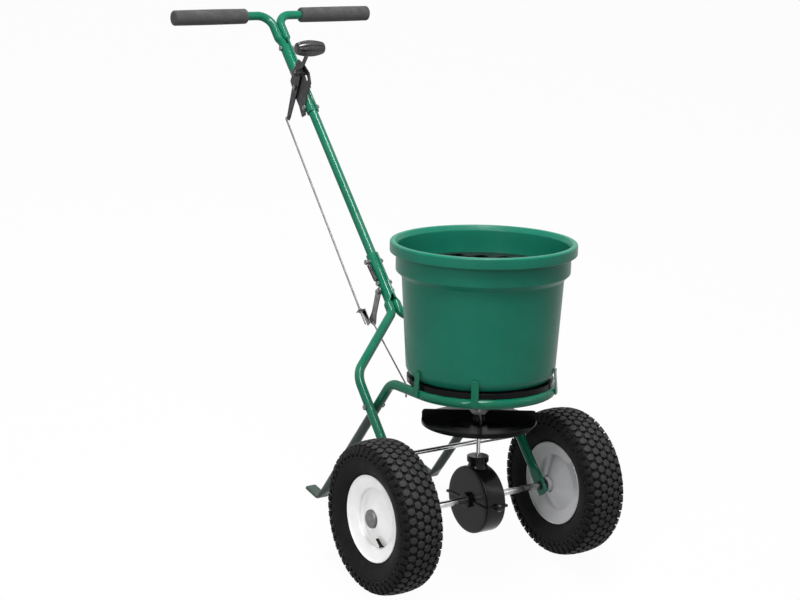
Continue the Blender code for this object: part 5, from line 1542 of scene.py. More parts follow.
    def ring_stand(self) -> None:
        """Hopper ring, rear legs and pressed feet, bent from one tube.

        The section is the pressed one up to 50 mm from either end, and eases to round by 95 mm.
        """
        lean = self.frame.lean
        ankle = np.array([self.ring_radius, self.foot_bend_y, self.foot_height(self.foot_bend_y)])
        toe = ankle + np.array([0, cos(lean), sin(lean)]) * self.foot_length
        knee = np.array([self.ring_radius, self.leg_bend_y, self.ring_height])
        run_end = np.array([self.ring_radius, 0.0, self.ring_height])
        half = filleted([toe, ankle, knee, run_end], [0.014, 0.045], radians(5))
        angles = -np.linspace(0, pi, 65)[1:-1]
        arc = np.stack([self.ring_radius * np.cos(angles), self.ring_radius * np.sin(angles),
                        np.full(63, self.ring_height)], axis=-1)
        tip = half[0] + unit(half[1] - half[0]) * np.array([[0.0], [LIP], [0.0024]])
        half = np.vstack([tip, spaced(np.vstack([tip[-1:], half[1:]]), 0.008)[1:]])
        path = np.vstack([half, arc, half[::-1] * ACROSS])
        length = np.concatenate([[0.0], np.cumsum(np.linalg.norm(np.diff(path, axis=0), axis=1))])
        near = np.minimum(length, length[-1] - length)
        share = smooth_step((near - 0.050) / 0.045)[:, None, None]
        flat = pressed(self.foot_width / 2, self.foot_thickness / 2, self.sides)
        sections = flat * (1 - share) + circle(self.tube_radius, self.sides) * share
        shrink = np.interp(near, [0.0, LIP, 0.0024], [0.90, 0.97, 1.0])[:, None, None]
        sections = sections * np.concatenate([shrink, np.maximum(shrink, 0.97)], axis=-1)
        place = self.crossing()
        cutters = [rod_x(start, start + 0.1, BOLT_HOLE, place[1], place[2], 24) for start in (-0.2, 0.1)]
        self.bench.place("ring_and_legs", "ring_stand", Shell().skin(carried(path, sections)),
                         self.finishes.leg_enamel, cutters=cutters, sharp=radians(50))

    def brace(self) -> None:
        """Bright rod between the side tubes, riveted over outside them."""
        outer = self.frame_x + self.tube_radius + GAP
        inner = self.frame_x - self.tube_radius - GAP
        half = [(inner - LIP, self.brace_radius), (inner, self.brace_radius - LIP), (inner, BOLT_RADIUS),
                (outer, BOLT_RADIUS), (outer, 0.0078), (outer + 0.0004, 0.008), (outer + 0.0012, 0.0072),
                (outer + 0.0019, 0.0048), (outer + 0.0022, 0.002)]
        grid = lathe(both_ends(half), 40, self.brace_place(), X_AXIS)
        self.bench.place("brace_rod", "cross_brace", Shell().skin(grid), self.finishes.steel)

    def bush(self, side: Side) -> None:
        """Flanged bush that carries the axle.

        Args:
            side: which of the two.
        """
        inner = self.frame_x - self.ear_thickness / 2 - 0.003
        face = self.frame_x + self.ear_thickness / 2 + GAP
        outer = face + 0.005
        bore, barrel, flange = 0.0073, self.bush_barrel, 0.014
        profile = filleted([(inner, bore), (inner, barrel), (face, barrel), (face, flange), (outer, flange),
                            (outer, bore)], [0.0006, 0.0, 0.0008, 0.0012], radians(22))
        shell = Shell().skin(turned(profile, 48, Axis.X), ring=True)
        self.bench.place(f"bush_{side.label}", f"axle_bush_{side.label}", shell.on_side(side), self.finishes.black)


@dataclass
class Fasteners(SubAssembly):
    """Bolts along the handle line and through the legs."""

    tubes: TubeFrame
    plate_wall: float = 0.0025
    lever_wall: float = 0.003

    def build(self) -> None:
        """Make each bolt."""
        outer = self.tubes.saddle_outer
        seat = -(outer + GAP)
        gauge_x = seat - self.plate_wall / 2
        lever_x = gauge_x - self.plate_wall / 2 - 0.001 - self.lever_wall / 2
        pivot_seat = lever_x - self.lever_wall / 2 - GAP
        nut = outer + GAP
        table = (("handlebar_bolt_upper", Bolt(seat, nut)),
                 ("handlebar_bolt_lower", Bolt(seat - self.plate_wall - GAP, nut)),
                 ("spring_anchor_bolt", Bolt(lever_x - 0.0009 - 0.001, nut, collar=(seat - 0.0022, seat, 0.006))),
                 ("frame_bolt", Bolt(seat, nut)),
                 ("lever_pivot_bolt", Bolt(pivot_seat, nut)),
                 ("crank_pivot_bolt",
                  Bolt(pivot_seat, nut, collar=(lever_x + self.lever_wall / 2 + GAP, seat, 0.006))))
        for (node, bolt), place in zip(table, self.tubes.bolts):
            self.put(node, bolt, self.frame.on_handle(0, *place))
        outside = self.tubes.frame_x + self.tubes.tube_radius + GAP
        inside = self.tubes.ring_radius - self.tubes.tube_radius - GAP
        for side, bolt in ((Side.LEFT, Bolt(inside, outside)), (Side.RIGHT, Bolt(-outside, -inside))):
            self.put(f"leg_bolt_{side.label}", bolt, self.tubes.crossing())

    def put(self, node: str, bolt: Bolt, place: Points) -> None:
        """Place one bolt across the machine."""
        self.bench.place(f"{node}_set", node, bolt.shell(place, X_AXIS), self.finishes.zinc)


# -------- hopper


@dataclass
class HopperSet(SubAssembly):
    """Bucket hopper with its screen, base plate and shutter."""

    top: float = 0.5373
    band_height: float = 0.0226
    band_radius: float = 0.1877
    collar_radius: float = 0.1752
    ledge: float = 0.4655
    body_top: float = 0.1628
    body_low: float = 0.1519
    low: float = 0.2807
    floor: float = 0.261
    wall: float = 0.003
    outlet: tuple[float, float, float, float] = (0.032, -0.020, 0.030, 0.026)
    sides: int = 160

    def build(self) -> None:
        """Make every piece of the hopper."""
        self.bucket()
        self.bench.refined("screen_grid", "hopper_screen", self.finishes.black, Body.SCREEN, 0.0007)
        self.bench.refined("floor_plate", "base_plate", self.finishes.matt_black, edge=0.0005)
        self.bench.refined("shutter_plate", "shutter", self.finishes.zinc, Body.SHUTTER, 0.0003)

    def bucket(self) -> None:
        """Stepped bucket: one closed profile with rolled rim, band, collar and drafted wall, spun round Z."""
        wall, top = self.wall, self.top
        band_low = top - self.band_height
        ledge_top = self.ledge + 0.012
        hole = 0.006
        corners = [(self.floor, 0.06), (self.floor, self.body_low - 0.012), (self.low - 0.004, self.body_low - 0.0008),
                   (self.ledge, self.body_top), (ledge_top, self.collar_radius), (band_low, self.collar_radius),
                   (band_low, self.band_radius), (top, self.band_radius), (top, self.collar_radius + 0.0025),
                   (top - 0.010, self.collar_radius - wall), (ledge_top + wall, self.collar_radius - wall),
                   (self.ledge + wall + 0.003, self.body_top - wall),
                   (self.floor + 0.009, self.body_low - wall - 0.004), (self.floor + wall, self.body_low - 0.020),
                   (self.floor + wall, hole), (self.floor, hole)]
        radii = [0.014, 0.020, 0.003, 0.0035, 0.0012, 0.0022, 0.0042, 0.0030, 0.006, 0.004, 0.003, 0.012, 0.006,
                 0.0006]
        profile = spaced(filleted(corners, radii, radians(12)), 0.02)
        shell = Shell().skin(turned(profile, self.sides), ring=True)
        x, y, width, depth = self.outlet
        cutters = [soft_block((side * x - width / 2, y - depth / 2, self.floor - 0.003),
                              (side * x + width / 2, y + depth / 2, self.floor + wall + 0.003), 0.0012)
                   for side in (-1, 1)]
        self.bench.place("hopper_bucket", "hopper", shell, self.finishes.hopper, cutters=cutters, sharp=radians(40))


# -------- impeller and gear case


@dataclass
class Spinner(SubAssembly):
    """Impeller, its shaft and the gears."""

    shaft_radius: float = 0.004
    shaft_low: float = 0.012
    shaft_top: float = 0.285
    radius: float = 0.1175
    height: float = 0.1635
    wall: float = 0.003
    hub: float = 0.016
    vane_top: float = 0.188
    vane_wall: float = 0.003
    vane_start: float = 0.014
    vane_angles: tuple[float, ...] = (56, 146, 236, 326)
    agitator_height: float = 0.276
    agitator_length: float = 0.070
    pin_radius: float = 0.002

    def build(self) -> None:
        """Make every spinning piece."""
        self.disc()
        self.shaft()
        self.agitator()
        self.bench.refined("pinion_gear", "pinion", self.finishes.zinc, Body.IMPELLER, 0.0002)
        self.bench.refined("face_gear", "crown_gear", self.finishes.zinc, Body.AXLE, 0.0002)

    def disc(self) -> None:
        """Spreading disc with a hub, a turned-down rim and four upright vanes with rounded edges."""
        low, high = self.height, self.height + self.wall
        bore = self.shaft_radius + GAP
        corners = [(low, 0.06), (low, self.radius - 0.003), (low - 0.003, self.radius - 0.0022),
                   (low - 0.003, self.radius), (high, self.radius), (high, self.hub), (high + 0.014, self.hub - 0.002),
                   (high + 0.014, bore), (low - 0.006, bore), (low - 0.006, self.hub), (low, self.hub)]
        radii = [0.001, 0.0004, 0.0006, 0.0014, 0.003, 0.0015, 0.0004, 0.0004, 0.001, 0.0005]
        profile = spaced(filleted(corners, radii, radians(25)), 0.02)
        shell = Shell().skin(turned(profile, 120), ring=True)
        for angle in self.vane_angles:
            shell.add(self.vane().rolled(radians(angle), Axis.Z))
        self.bench.place("spreading_disc", "impeller", shell, self.finishes.matt_black, Body.IMPELLER)

    def vane(self) -> Shell:
        """Upright vane: a rounded outline at four levels through its thickness, the outer two drawn in.

        Returns:
            The vane, along X.
        """
        high = self.height + self.wall
        end = self.radius - 0.001
        outline = filleted([(0.07, high - 0.001), (end, high - 0.001), (end, self.vane_top),
                            (self.vane_start + 0.006, self.vane_top), (self.vane_start, self.vane_top - 0.008),
                            (self.vane_start, high - 0.001)], [0.0005, 0.007, 0.003, 0.002], radians(15))
        away = unit(outline - outline.mean(axis=0))
        half, edge = self.vane_wall / 2, 0.0006
        rings = []
        for level, inset in ((-half, edge), (-half + edge, 0.0), (half - edge, 0.0), (half, edge)):
            flat = outline - away * inset
            rings.append(np.stack([flat[:, 0], np.full(len(flat), level), flat[:, 1]], axis=-1))
        return Shell().skin(np.array(rings))

    def shaft(self) -> None:
        """Upright shaft with chamfered ends."""
        r, low, top = self.shaft_radius, self.shaft_low, self.shaft_top
        cut = 0.0008
        profile = np.array([(low, r - cut), (low + cut, r), (top - cut, r), (top, r - cut)])
        shell = Shell().skin(turned(spaced(profile, 0.04), 32))
        hole = rod_x(-0.03, 0.03, self.pin_radius + GAP, 0.0, self.agitator_height, 20)
        self.bench.place("upright_shaft", "impeller_shaft", shell, self.finishes.steel, Body.IMPELLER, [hole])

    def agitator(self) -> None:
        """Pin through the top of the shaft, with rounded ends."""
        half, r = self.agitator_length / 2, self.pin_radius
        profile = both_ends([(half - 0.0014, r), (half - 0.0006, r * 0.85), (half, r * 0.4)])
        grid = lathe(profile, 20, Z_AXIS * self.agitator_height, X_AXIS)
        self.bench.place("stirring_pin", "agitator_pin", Shell().skin(grid), self.finishes.steel, Body.IMPELLER)


@dataclass
class GearCase(SubAssembly):
    """Drum-shaped gear case in two halves, its screws and the collar on its neck."""

    radius: float = 0.070
    width: float = 0.046
    wall: float = 0.003
    boss_radius: float = 0.016
    boss_width: float = 0.064
    neck_radius: float = 0.019
    neck_top: float = 0.088
    collar_top: float = 0.0916
    collar_height: float = 0.012
    ear_reach: float = 0.084
    ear_width: float = 0.018
    ear_wall: float = 0.004
    lip: float = 0.0028
    axle_radius: float = 0.007
    shaft_radius: float = 0.004

    def build(self) -> None:
        """Make every piece of the case."""
        self.half("gearbox_upper", upper=True)
        self.half("gearbox_lower", upper=False)
        self.collar()
        top = self.ear_wall + GAP
        for label, sign in (("front", -1), ("rear", 1)):
            bolt = Bolt(-top, top, shank=0.002, across=0.0047, height=0.0028, tail=0.0003)
            shell = bolt.shell(np.array([0.0, sign * self.screw_y, 0.0]), Z_AXIS)
            self.bench.place(f"case_screw_{label}", f"gearbox_screw_{label}", shell, self.finishes.zinc)

    @property
    def screw_y(self) -> float:
        """Distance of the screws from the axle."""
        return (self.ear_reach + self.radius) / 2 - 0.0005

    def half(self, node: str, upper: bool) -> None:
        """One half: drum, axle boss, parting lip, screw ears and neck, hollowed and cut level with the axle.

        Args:
            node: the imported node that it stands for.
            upper: the upper half, with the neck.
        """
        half = self.width / 2
        drum = filleted([(-half, 0.02), (-half, self.radius), (half, self.radius), (half, 0.02)], [0.0045, 0.0045],
                        radians(15))
        boss_half = self.boss_width / 2
        boss = filleted([(-boss_half, 0.004), (-boss_half, self.boss_radius), (boss_half, self.boss_radius),
                         (boss_half, 0.004)], [0.0015, 0.0015], radians(25))
        shell = Shell().skin(turned(spaced(drum, 0.015), 96, Axis.X)).skin(turned(boss, 48, Axis.X))
        lip_wall = 0.0016
        for block in (soft_block((-half - self.lip, -self.radius - self.lip, -lip_wall - 0.001),
                                 (half + self.lip, self.radius + self.lip, lip_wall + 0.001), 0.0012),
                      soft_block((-self.ear_width / 2, -self.ear_reach, -self.ear_wall),
                                 (self.ear_width / 2, self.ear_reach, self.ear_wall), 0.004)):
            shell.add(block)
        if upper:
            start = self.radius - self.wall * 2
            neck = filleted([(start, 0.006), (start, self.neck_radius + 0.004), (start + 0.010, self.neck_radius),
                             (self.neck_top, self.neck_radius), (self.neck_top, 0.006)], [0.0, 0.006, 0.0012],
                            radians(20))
            shell.skin(turned(neck, 64))
        inner = half - self.wall
        room = self.ear_reach + self.neck_top
        cutters = [rod_x(-inner, inner, self.radius - self.wall, sides=96),
                   rod_x(-self.boss_width, self.boss_width, self.axle_radius + GAP, sides=48),
                   soft_block((-room, -room, -room if upper else -GAP / 2),
                              (room, room, GAP / 2 if upper else room), 1e-6)]
        if upper:
            cutters.append(rod_z(0.02, self.neck_top + 0.01, self.shaft_radius + GAP))
        cutters += [rod_z(-0.02, 0.02, 0.0024, 0.0, sign * self.screw_y, 20) for sign in (-1, 1)]
        self.bench.place("case_upper" if upper else "case_lower", node, shell, self.finishes.gear_case,
                         cutters=cutters)

    def collar(self) -> None:
        """Collar on the neck, notched lengthwise: the outer radius drops by 7.5% where the sine of 18 turns is low."""
        inner, bore = self.neck_radius + GAP, self.shaft_radius + 0.0006
        outer = inner + 0.003
        low, top = self.collar_top - self.collar_height, self.collar_top
        under = self.neck_top + GAP
        corners = [(under, (inner + bore) / 2), (under, inner), (low, inner), (low, outer), (top - 0.0004, outer),
                   (top, outer - 0.003), (top, bore), (under, bore)]
        profile = spaced(filleted(corners, [0.0004, 0.0004, 0.0006, 0.001, 0.0008, 0.0003, 0.0003], radians(30)), 0.003)
        sides = 144
        wave = np.sin(18 * spread(sides))
        notch = smooth_step((-wave - 0.1) / 0.35)
        share = smooth_step((profile[:, 1] - outer + 0.0016) / 0.0012)
        swell = 1.0 - 0.075 * share[:, None] * notch[None]
        self.bench.place("neck_collar", "gearbox_collar",
                         Shell().skin(turned(profile, sides, swell=swell), ring=True), self.finishes.gear_case)


# -------- wheels and axle


@dataclass
class Wheel(SubAssembly):
    """Pneumatic wheel: knobbed tyre, pressed rim, hub cap and valve, drawn for the left side."""

    radius: float = 0.156
    track: float = 0.456
    tyre_half: float = 0.0442
    rim_half: float = 0.0322
    well: float = 0.060
    flange: float = 0.0886
    rim_wall: float = 0.004
    hub_radius: float = 0.0165
    hub_inner: float = -0.0518
    hub_outer: float = 0.0282
    cap_radius: float = 0.019
    cap_height: float = 0.0095
    axle_radius: float = 0.007
    valley: float = 0.0105
    pin_room: float = 0.009
    valve_x: float = 0.019
    valve_seat: float = 0.0589
    valve_lean: float = radians(20)
    valve_turn: float = radians(-22)
    knobs: int = 50
    knob_height: float = 0.0052
    rib_radius: float = 0.0010
    rib_place: float = 0.1250
    sides: int = 120

    def build(self, side: Side, body: Body) -> None:
        """Make one wheel.

        Args:
            side: which of the two.
            body: the body that it turns with.
        """
        looks = self.finishes
        for name, node, shell, dress in (("tread", "tyre", self.tyre(), looks.tyre),
                                         ("wheel_disc", "rim", self.rim(), looks.white),
                                         ("cap", "hub_cap", self.cap(), looks.zinc),
                                         ("valve", "valve_stem", self.valve(), looks.valve)):
            shell.moved((self.track / 2, 0.0, 0.0))
            self.bench.place(f"{name}_{side.label}", f"{node}_{side.label}", shell.on_side(side), dress, body,
                             sharp=radians(42))

    def section(self) -> Points:
        """Tyre's outer section from bead to bead, by corner cutting.

        Corner cutting replaces each inner corner by the points a quarter of the way to its neighbours, three times.

        Returns:
            Points as (x, radius).
        """
        bead = self.rim_half - 0.0052
        base = self.radius - self.knob_height - 0.0002
        half = [(0.0, base), (0.010, base - 0.0001), (0.023, base - 0.0015), (0.034, base - 0.0042),
                (0.0392, base - 0.0105), (self.tyre_half - 0.0028, 0.131), (self.tyre_half - 0.0010, 0.1236),
                (self.tyre_half - 0.0006, 0.1204), (self.tyre_half - 0.0014, 0.114),
                (self.tyre_half - 0.0046, 0.104), (0.0345, 0.0955), (0.0338, 0.0935), (0.0312, 0.0915),
                (0.0295, 0.0893), (bead, self.flange - 0.0022)]
        points = both_ends(half[1:])
        points = np.insert(points, len(points) // 2, half[0], axis=0)
        for _ in range(3):
            low = points[:-1] * 0.75 + points[1:] * 0.25
            high = points[:-1] * 0.25 + points[1:] * 0.75
            points = np.vstack([points[:1], np.stack([low, high], axis=1).reshape(-1, 2)[1:-1], points[-1:]])
        return points

    def tyre(self) -> Shell:
        """Carcass and its knobs.

        A knob's point at (angle u, s across, h high) is the section's point at s, pushed h along the section's
        normal, at the angle u.

        Returns:
            The tyre.
        """
        section = self.section()
        floor = self.well + self.rim_wall + 0.0004
        bead = self.rim_half - 0.0117
        inner = np.array([(bead, floor), (bead - 0.0055, floor), (self.tyre_half - 0.007, 0.110),
                          (self.tyre_half - 0.017, 0.1374), (-self.tyre_half + 0.017, 0.1374),
                          (-self.tyre_half + 0.007, 0.110), (-bead + 0.0055, floor), (-bead, floor)])
        shell = Shell().skin(turned(np.vstack([section, inner]), self.sides, Axis.X), ring=True)
        for sign in (-1, 1):
            rib = circle(self.rib_radius, 8) + np.array([sign * (self.tyre_half - 0.0009), self.rib_place])
            shell.skin(turned(rib, self.sides, Axis.X), ring=True)
        steps = np.linalg.norm(np.diff(section, axis=0), axis=1)
        length = np.concatenate([[0.0], np.cumsum(steps)])
        length -= np.interp(0.0, section[:, 0], length)
        tangents = np.gradient(section, length, axis=0)
        normals = unit(np.stack([-tangents[:, 1], tangents[:, 0]], axis=-1))
        for grid in self.knob_grids():
            u, s, h = grid[..., 0], grid[..., 1], grid[..., 2]
            x = np.interp(s, length, section[:, 0]) + h * np.interp(s, length, normals[:, 0])
            r = np.interp(s, length, section[:, 1]) + h * np.interp(s, length, normals[:, 1])
            shell.copies(np.stack([x, r * np.cos(u), r * np.sin(u)], axis=-1))
        return shell

    def knob_grids(self) -> list[Points]:
        """Grids of the tread knobs and shoulder bars in (angle, across, height).

        Five rows of six-sided knobs, every other row half a pitch on, then a long and a short bar at each shoulder.
        A knob's radius is 1.03 at its corners and 0.84 at the flats between them. A bar is a rounded rectangle,
        where the sum of the coordinates' fifth powers is one.

        Returns:
            One group of grids for each row.
        """
        rows = ((-0.0297, 0.0, 0.94), (-0.0149, 0.5, 1.0), (0.0, 0.0, 1.0), (0.0149, 0.5, 1.0), (0.0297, 0.0, 0.94))
        angles = spread(12)
        knob = self.plan(0.0082, 0.0075, np.where(np.arange(12) % 2 == 0, 1.03, 0.84), angles)
        grids = [self.stacked(knob * size, shift, place, self.knob_height) for place, shift, size in rows]
        angles = (np.arange(12) + 0.5) * (2 * pi / 12)
        bar = (np.abs(np.cos(angles)) ** 5 + np.abs(np.sin(angles)) ** 5) ** -0.2
        long, short = self.plan(0.0058, 0.0078, bar, angles), self.plan(0.0046, 0.0066, bar, angles)
        for sign in (-1, 1):
            grids.append(self.stacked(long, 0.5, sign * 0.0440, self.knob_height * 0.96))
            grids.append(self.stacked(short, 0.0, sign * 0.0520, self.knob_height * 0.62))
        return grids

    @staticmethod
    def plan(half_round: float, half_across: float, radius: Points, angles: Points) -> Points:
        """Plan of a knob, as (round, across), from half its length and width and the radius at each angle."""
        return np.stack([half_round * radius * np.cos(angles), half_across * radius * np.sin(angles)], axis=-1)

    def stacked(self, plan: Points, shift: float, place: float, height: float) -> Points:
        """Rings of a knob from its foot to its top, repeated round the tyre.

        Args:
            plan: the knob's plan.
            shift: share of the pitch by which the row is moved on.
            place: where the row lies across the tyre.
            height: height of the knobs.

        Returns:
            Grids, (k, n, m, 3).
        """
        levels = ((-0.0010, 1.0), (0.0, 0.99), (height * 0.88, 0.96), (height * 0.98, 0.93), (height, 0.88))
        rings = np.array([np.column_stack([plan * scale, np.full(len(plan), level)]) for level, scale in levels])
        angles = (np.arange(self.knobs) + shift) * (2 * pi / self.knobs)
        grid = np.broadcast_to(rings, (self.knobs, *rings.shape)).copy()
        grid[..., 0] = grid[..., 0] / self.radius + angles[:, None, None]
        grid[..., 1] += place
        return grid

    def rim(self) -> Shell:
        """Pressed rim: rolled lips, drop well, a cone to each end of the hub tube, and a slit at the inner one.

        Returns:
            The rim.
        """
        edge, well, wall, web = self.rim_half, self.well, self.rim_wall, 0.0034
        bore = self.axle_radius + GAP
        slit = self.hub_radius + 0.0012
        end = self.hub_inner + self.pin_room
        lip = [(edge - 0.0094, well - 0.0005), (edge - 0.0030, self.flange - 0.0050),
               (edge + 0.0006, self.flange - 0.0018), (edge - 0.0018, self.flange + 0.0008),
               (edge - 0.0042, self.flange - 0.0040), (edge - 0.0107, well + wall)]
        face = [(self.hub_outer, 0.012), (self.hub_outer, 0.0195), (0.0203, 0.040), (self.valley, well + 0.0014)]
        back = [(end, slit), (end + web, slit), (web - edge + 0.0082, well - 0.0010),
                (self.valley - web, well - 0.0010), (self.hub_outer - web, self.hub_radius),
                (self.hub_inner, self.hub_radius), (self.hub_inner, bore), (self.hub_outer, bore)]
        bends = [0.006, 0.004, 0.0014, 0.0014, 0.003, 0.002]
        radii = [0.0010, 0.05, 0.006, *bends, *reversed(bends), 0.0006, 0.0006, 0.002, 0.002, 0.001, 0.0008, 0.0005]
        profile = spaced(filleted(face + lip + [(-x, r) for x, r in reversed(lip)] + back, radii, radians(15)), 0.01)
        return Shell().skin(turned(profile, 96, Axis.X), ring=True)

    def cap(self) -> Shell:
        """Domed cap: near a quarter of an ellipse over a short skirt.

        Returns:
            The cap.
        """
        face = self.hub_outer + GAP
        angles = np.linspace(0.0, pi / 2, 12)
        skirt = 0.0024
        dome = np.stack([face + skirt + (self.cap_height - skirt) * np.sin(angles),
                         np.maximum(self.cap_radius * np.cos(angles) ** 0.8, 0.0006)], axis=-1)
        profile = np.vstack([[(face, self.cap_radius - 0.0012), (face, self.cap_radius - 0.0004),
                              (face + 0.0004, self.cap_radius)], dome])
        return Shell().skin(turned(profile, 64, Axis.X))

    def valve(self) -> Shell:
        """Rubber valve stem with a ribbed foot: turned, then pushed outwards by its rise times its lean's tangent.

        Returns:
            The valve.
        """
        rows = [(0.0, 0.0030), (0.0, 0.0054), (0.0016, 0.0052), (0.0032, 0.0037), (0.0090, 0.0034), (0.0098, 0.0037),
                (0.0106, 0.0034), (0.0136, 0.0031), (0.0140, 0.0035), (0.0181, 0.0033), (0.0190, 0.0024)]
        grid = turned(np.array([(-self.valve_seat + rise, radius) for rise, radius in rows]), 24)
        grid[..., 0] += (grid[..., 2] + self.valve_seat) * tan(self.valve_lean)
        return Shell().skin(grid).rolled(self.valve_turn, Axis.X).moved((self.valve_x, 0.0, 0.0))


@dataclass
class Axle(SubAssembly):
    """Bright axle and its drive pin."""

    radius: float = 0.007
    track: float = 0.456
    hub_outer: float = 0.0282
    hub_inner: float = -0.0518
    pin_radius: float = 0.002
    pin_half: float = 0.0185

    def build(self) -> None:
        """Make the axle and the pin."""
        end = self.track / 2 + self.hub_outer
        profile = both_ends([(end - 0.001, self.radius), (end, self.radius - 0.001)])
        shell = Shell().skin(turned(spaced(profile, 0.05), 40, Axis.X))
        pin_x = -(self.track / 2 + self.hub_inner + 0.0045)
        hole = rod_z(-0.02, 0.02, self.pin_radius + GAP, pin_x, 0.0, 20)
        self.bench.place("axle_rod", "axle", shell, self.finishes.steel, Body.AXLE, [hole])
        half, r = self.pin_half, self.pin_radius
        pin = Shell().skin(turned(both_ends([(half - 0.0008, r), (half, r * 0.6)]), 20)).moved((pin_x, 0.0, 0.0))
        self.bench.place("wheel_pin", "drive_pin", pin, self.finishes.steel, Body.AXLE)


# -------- controls


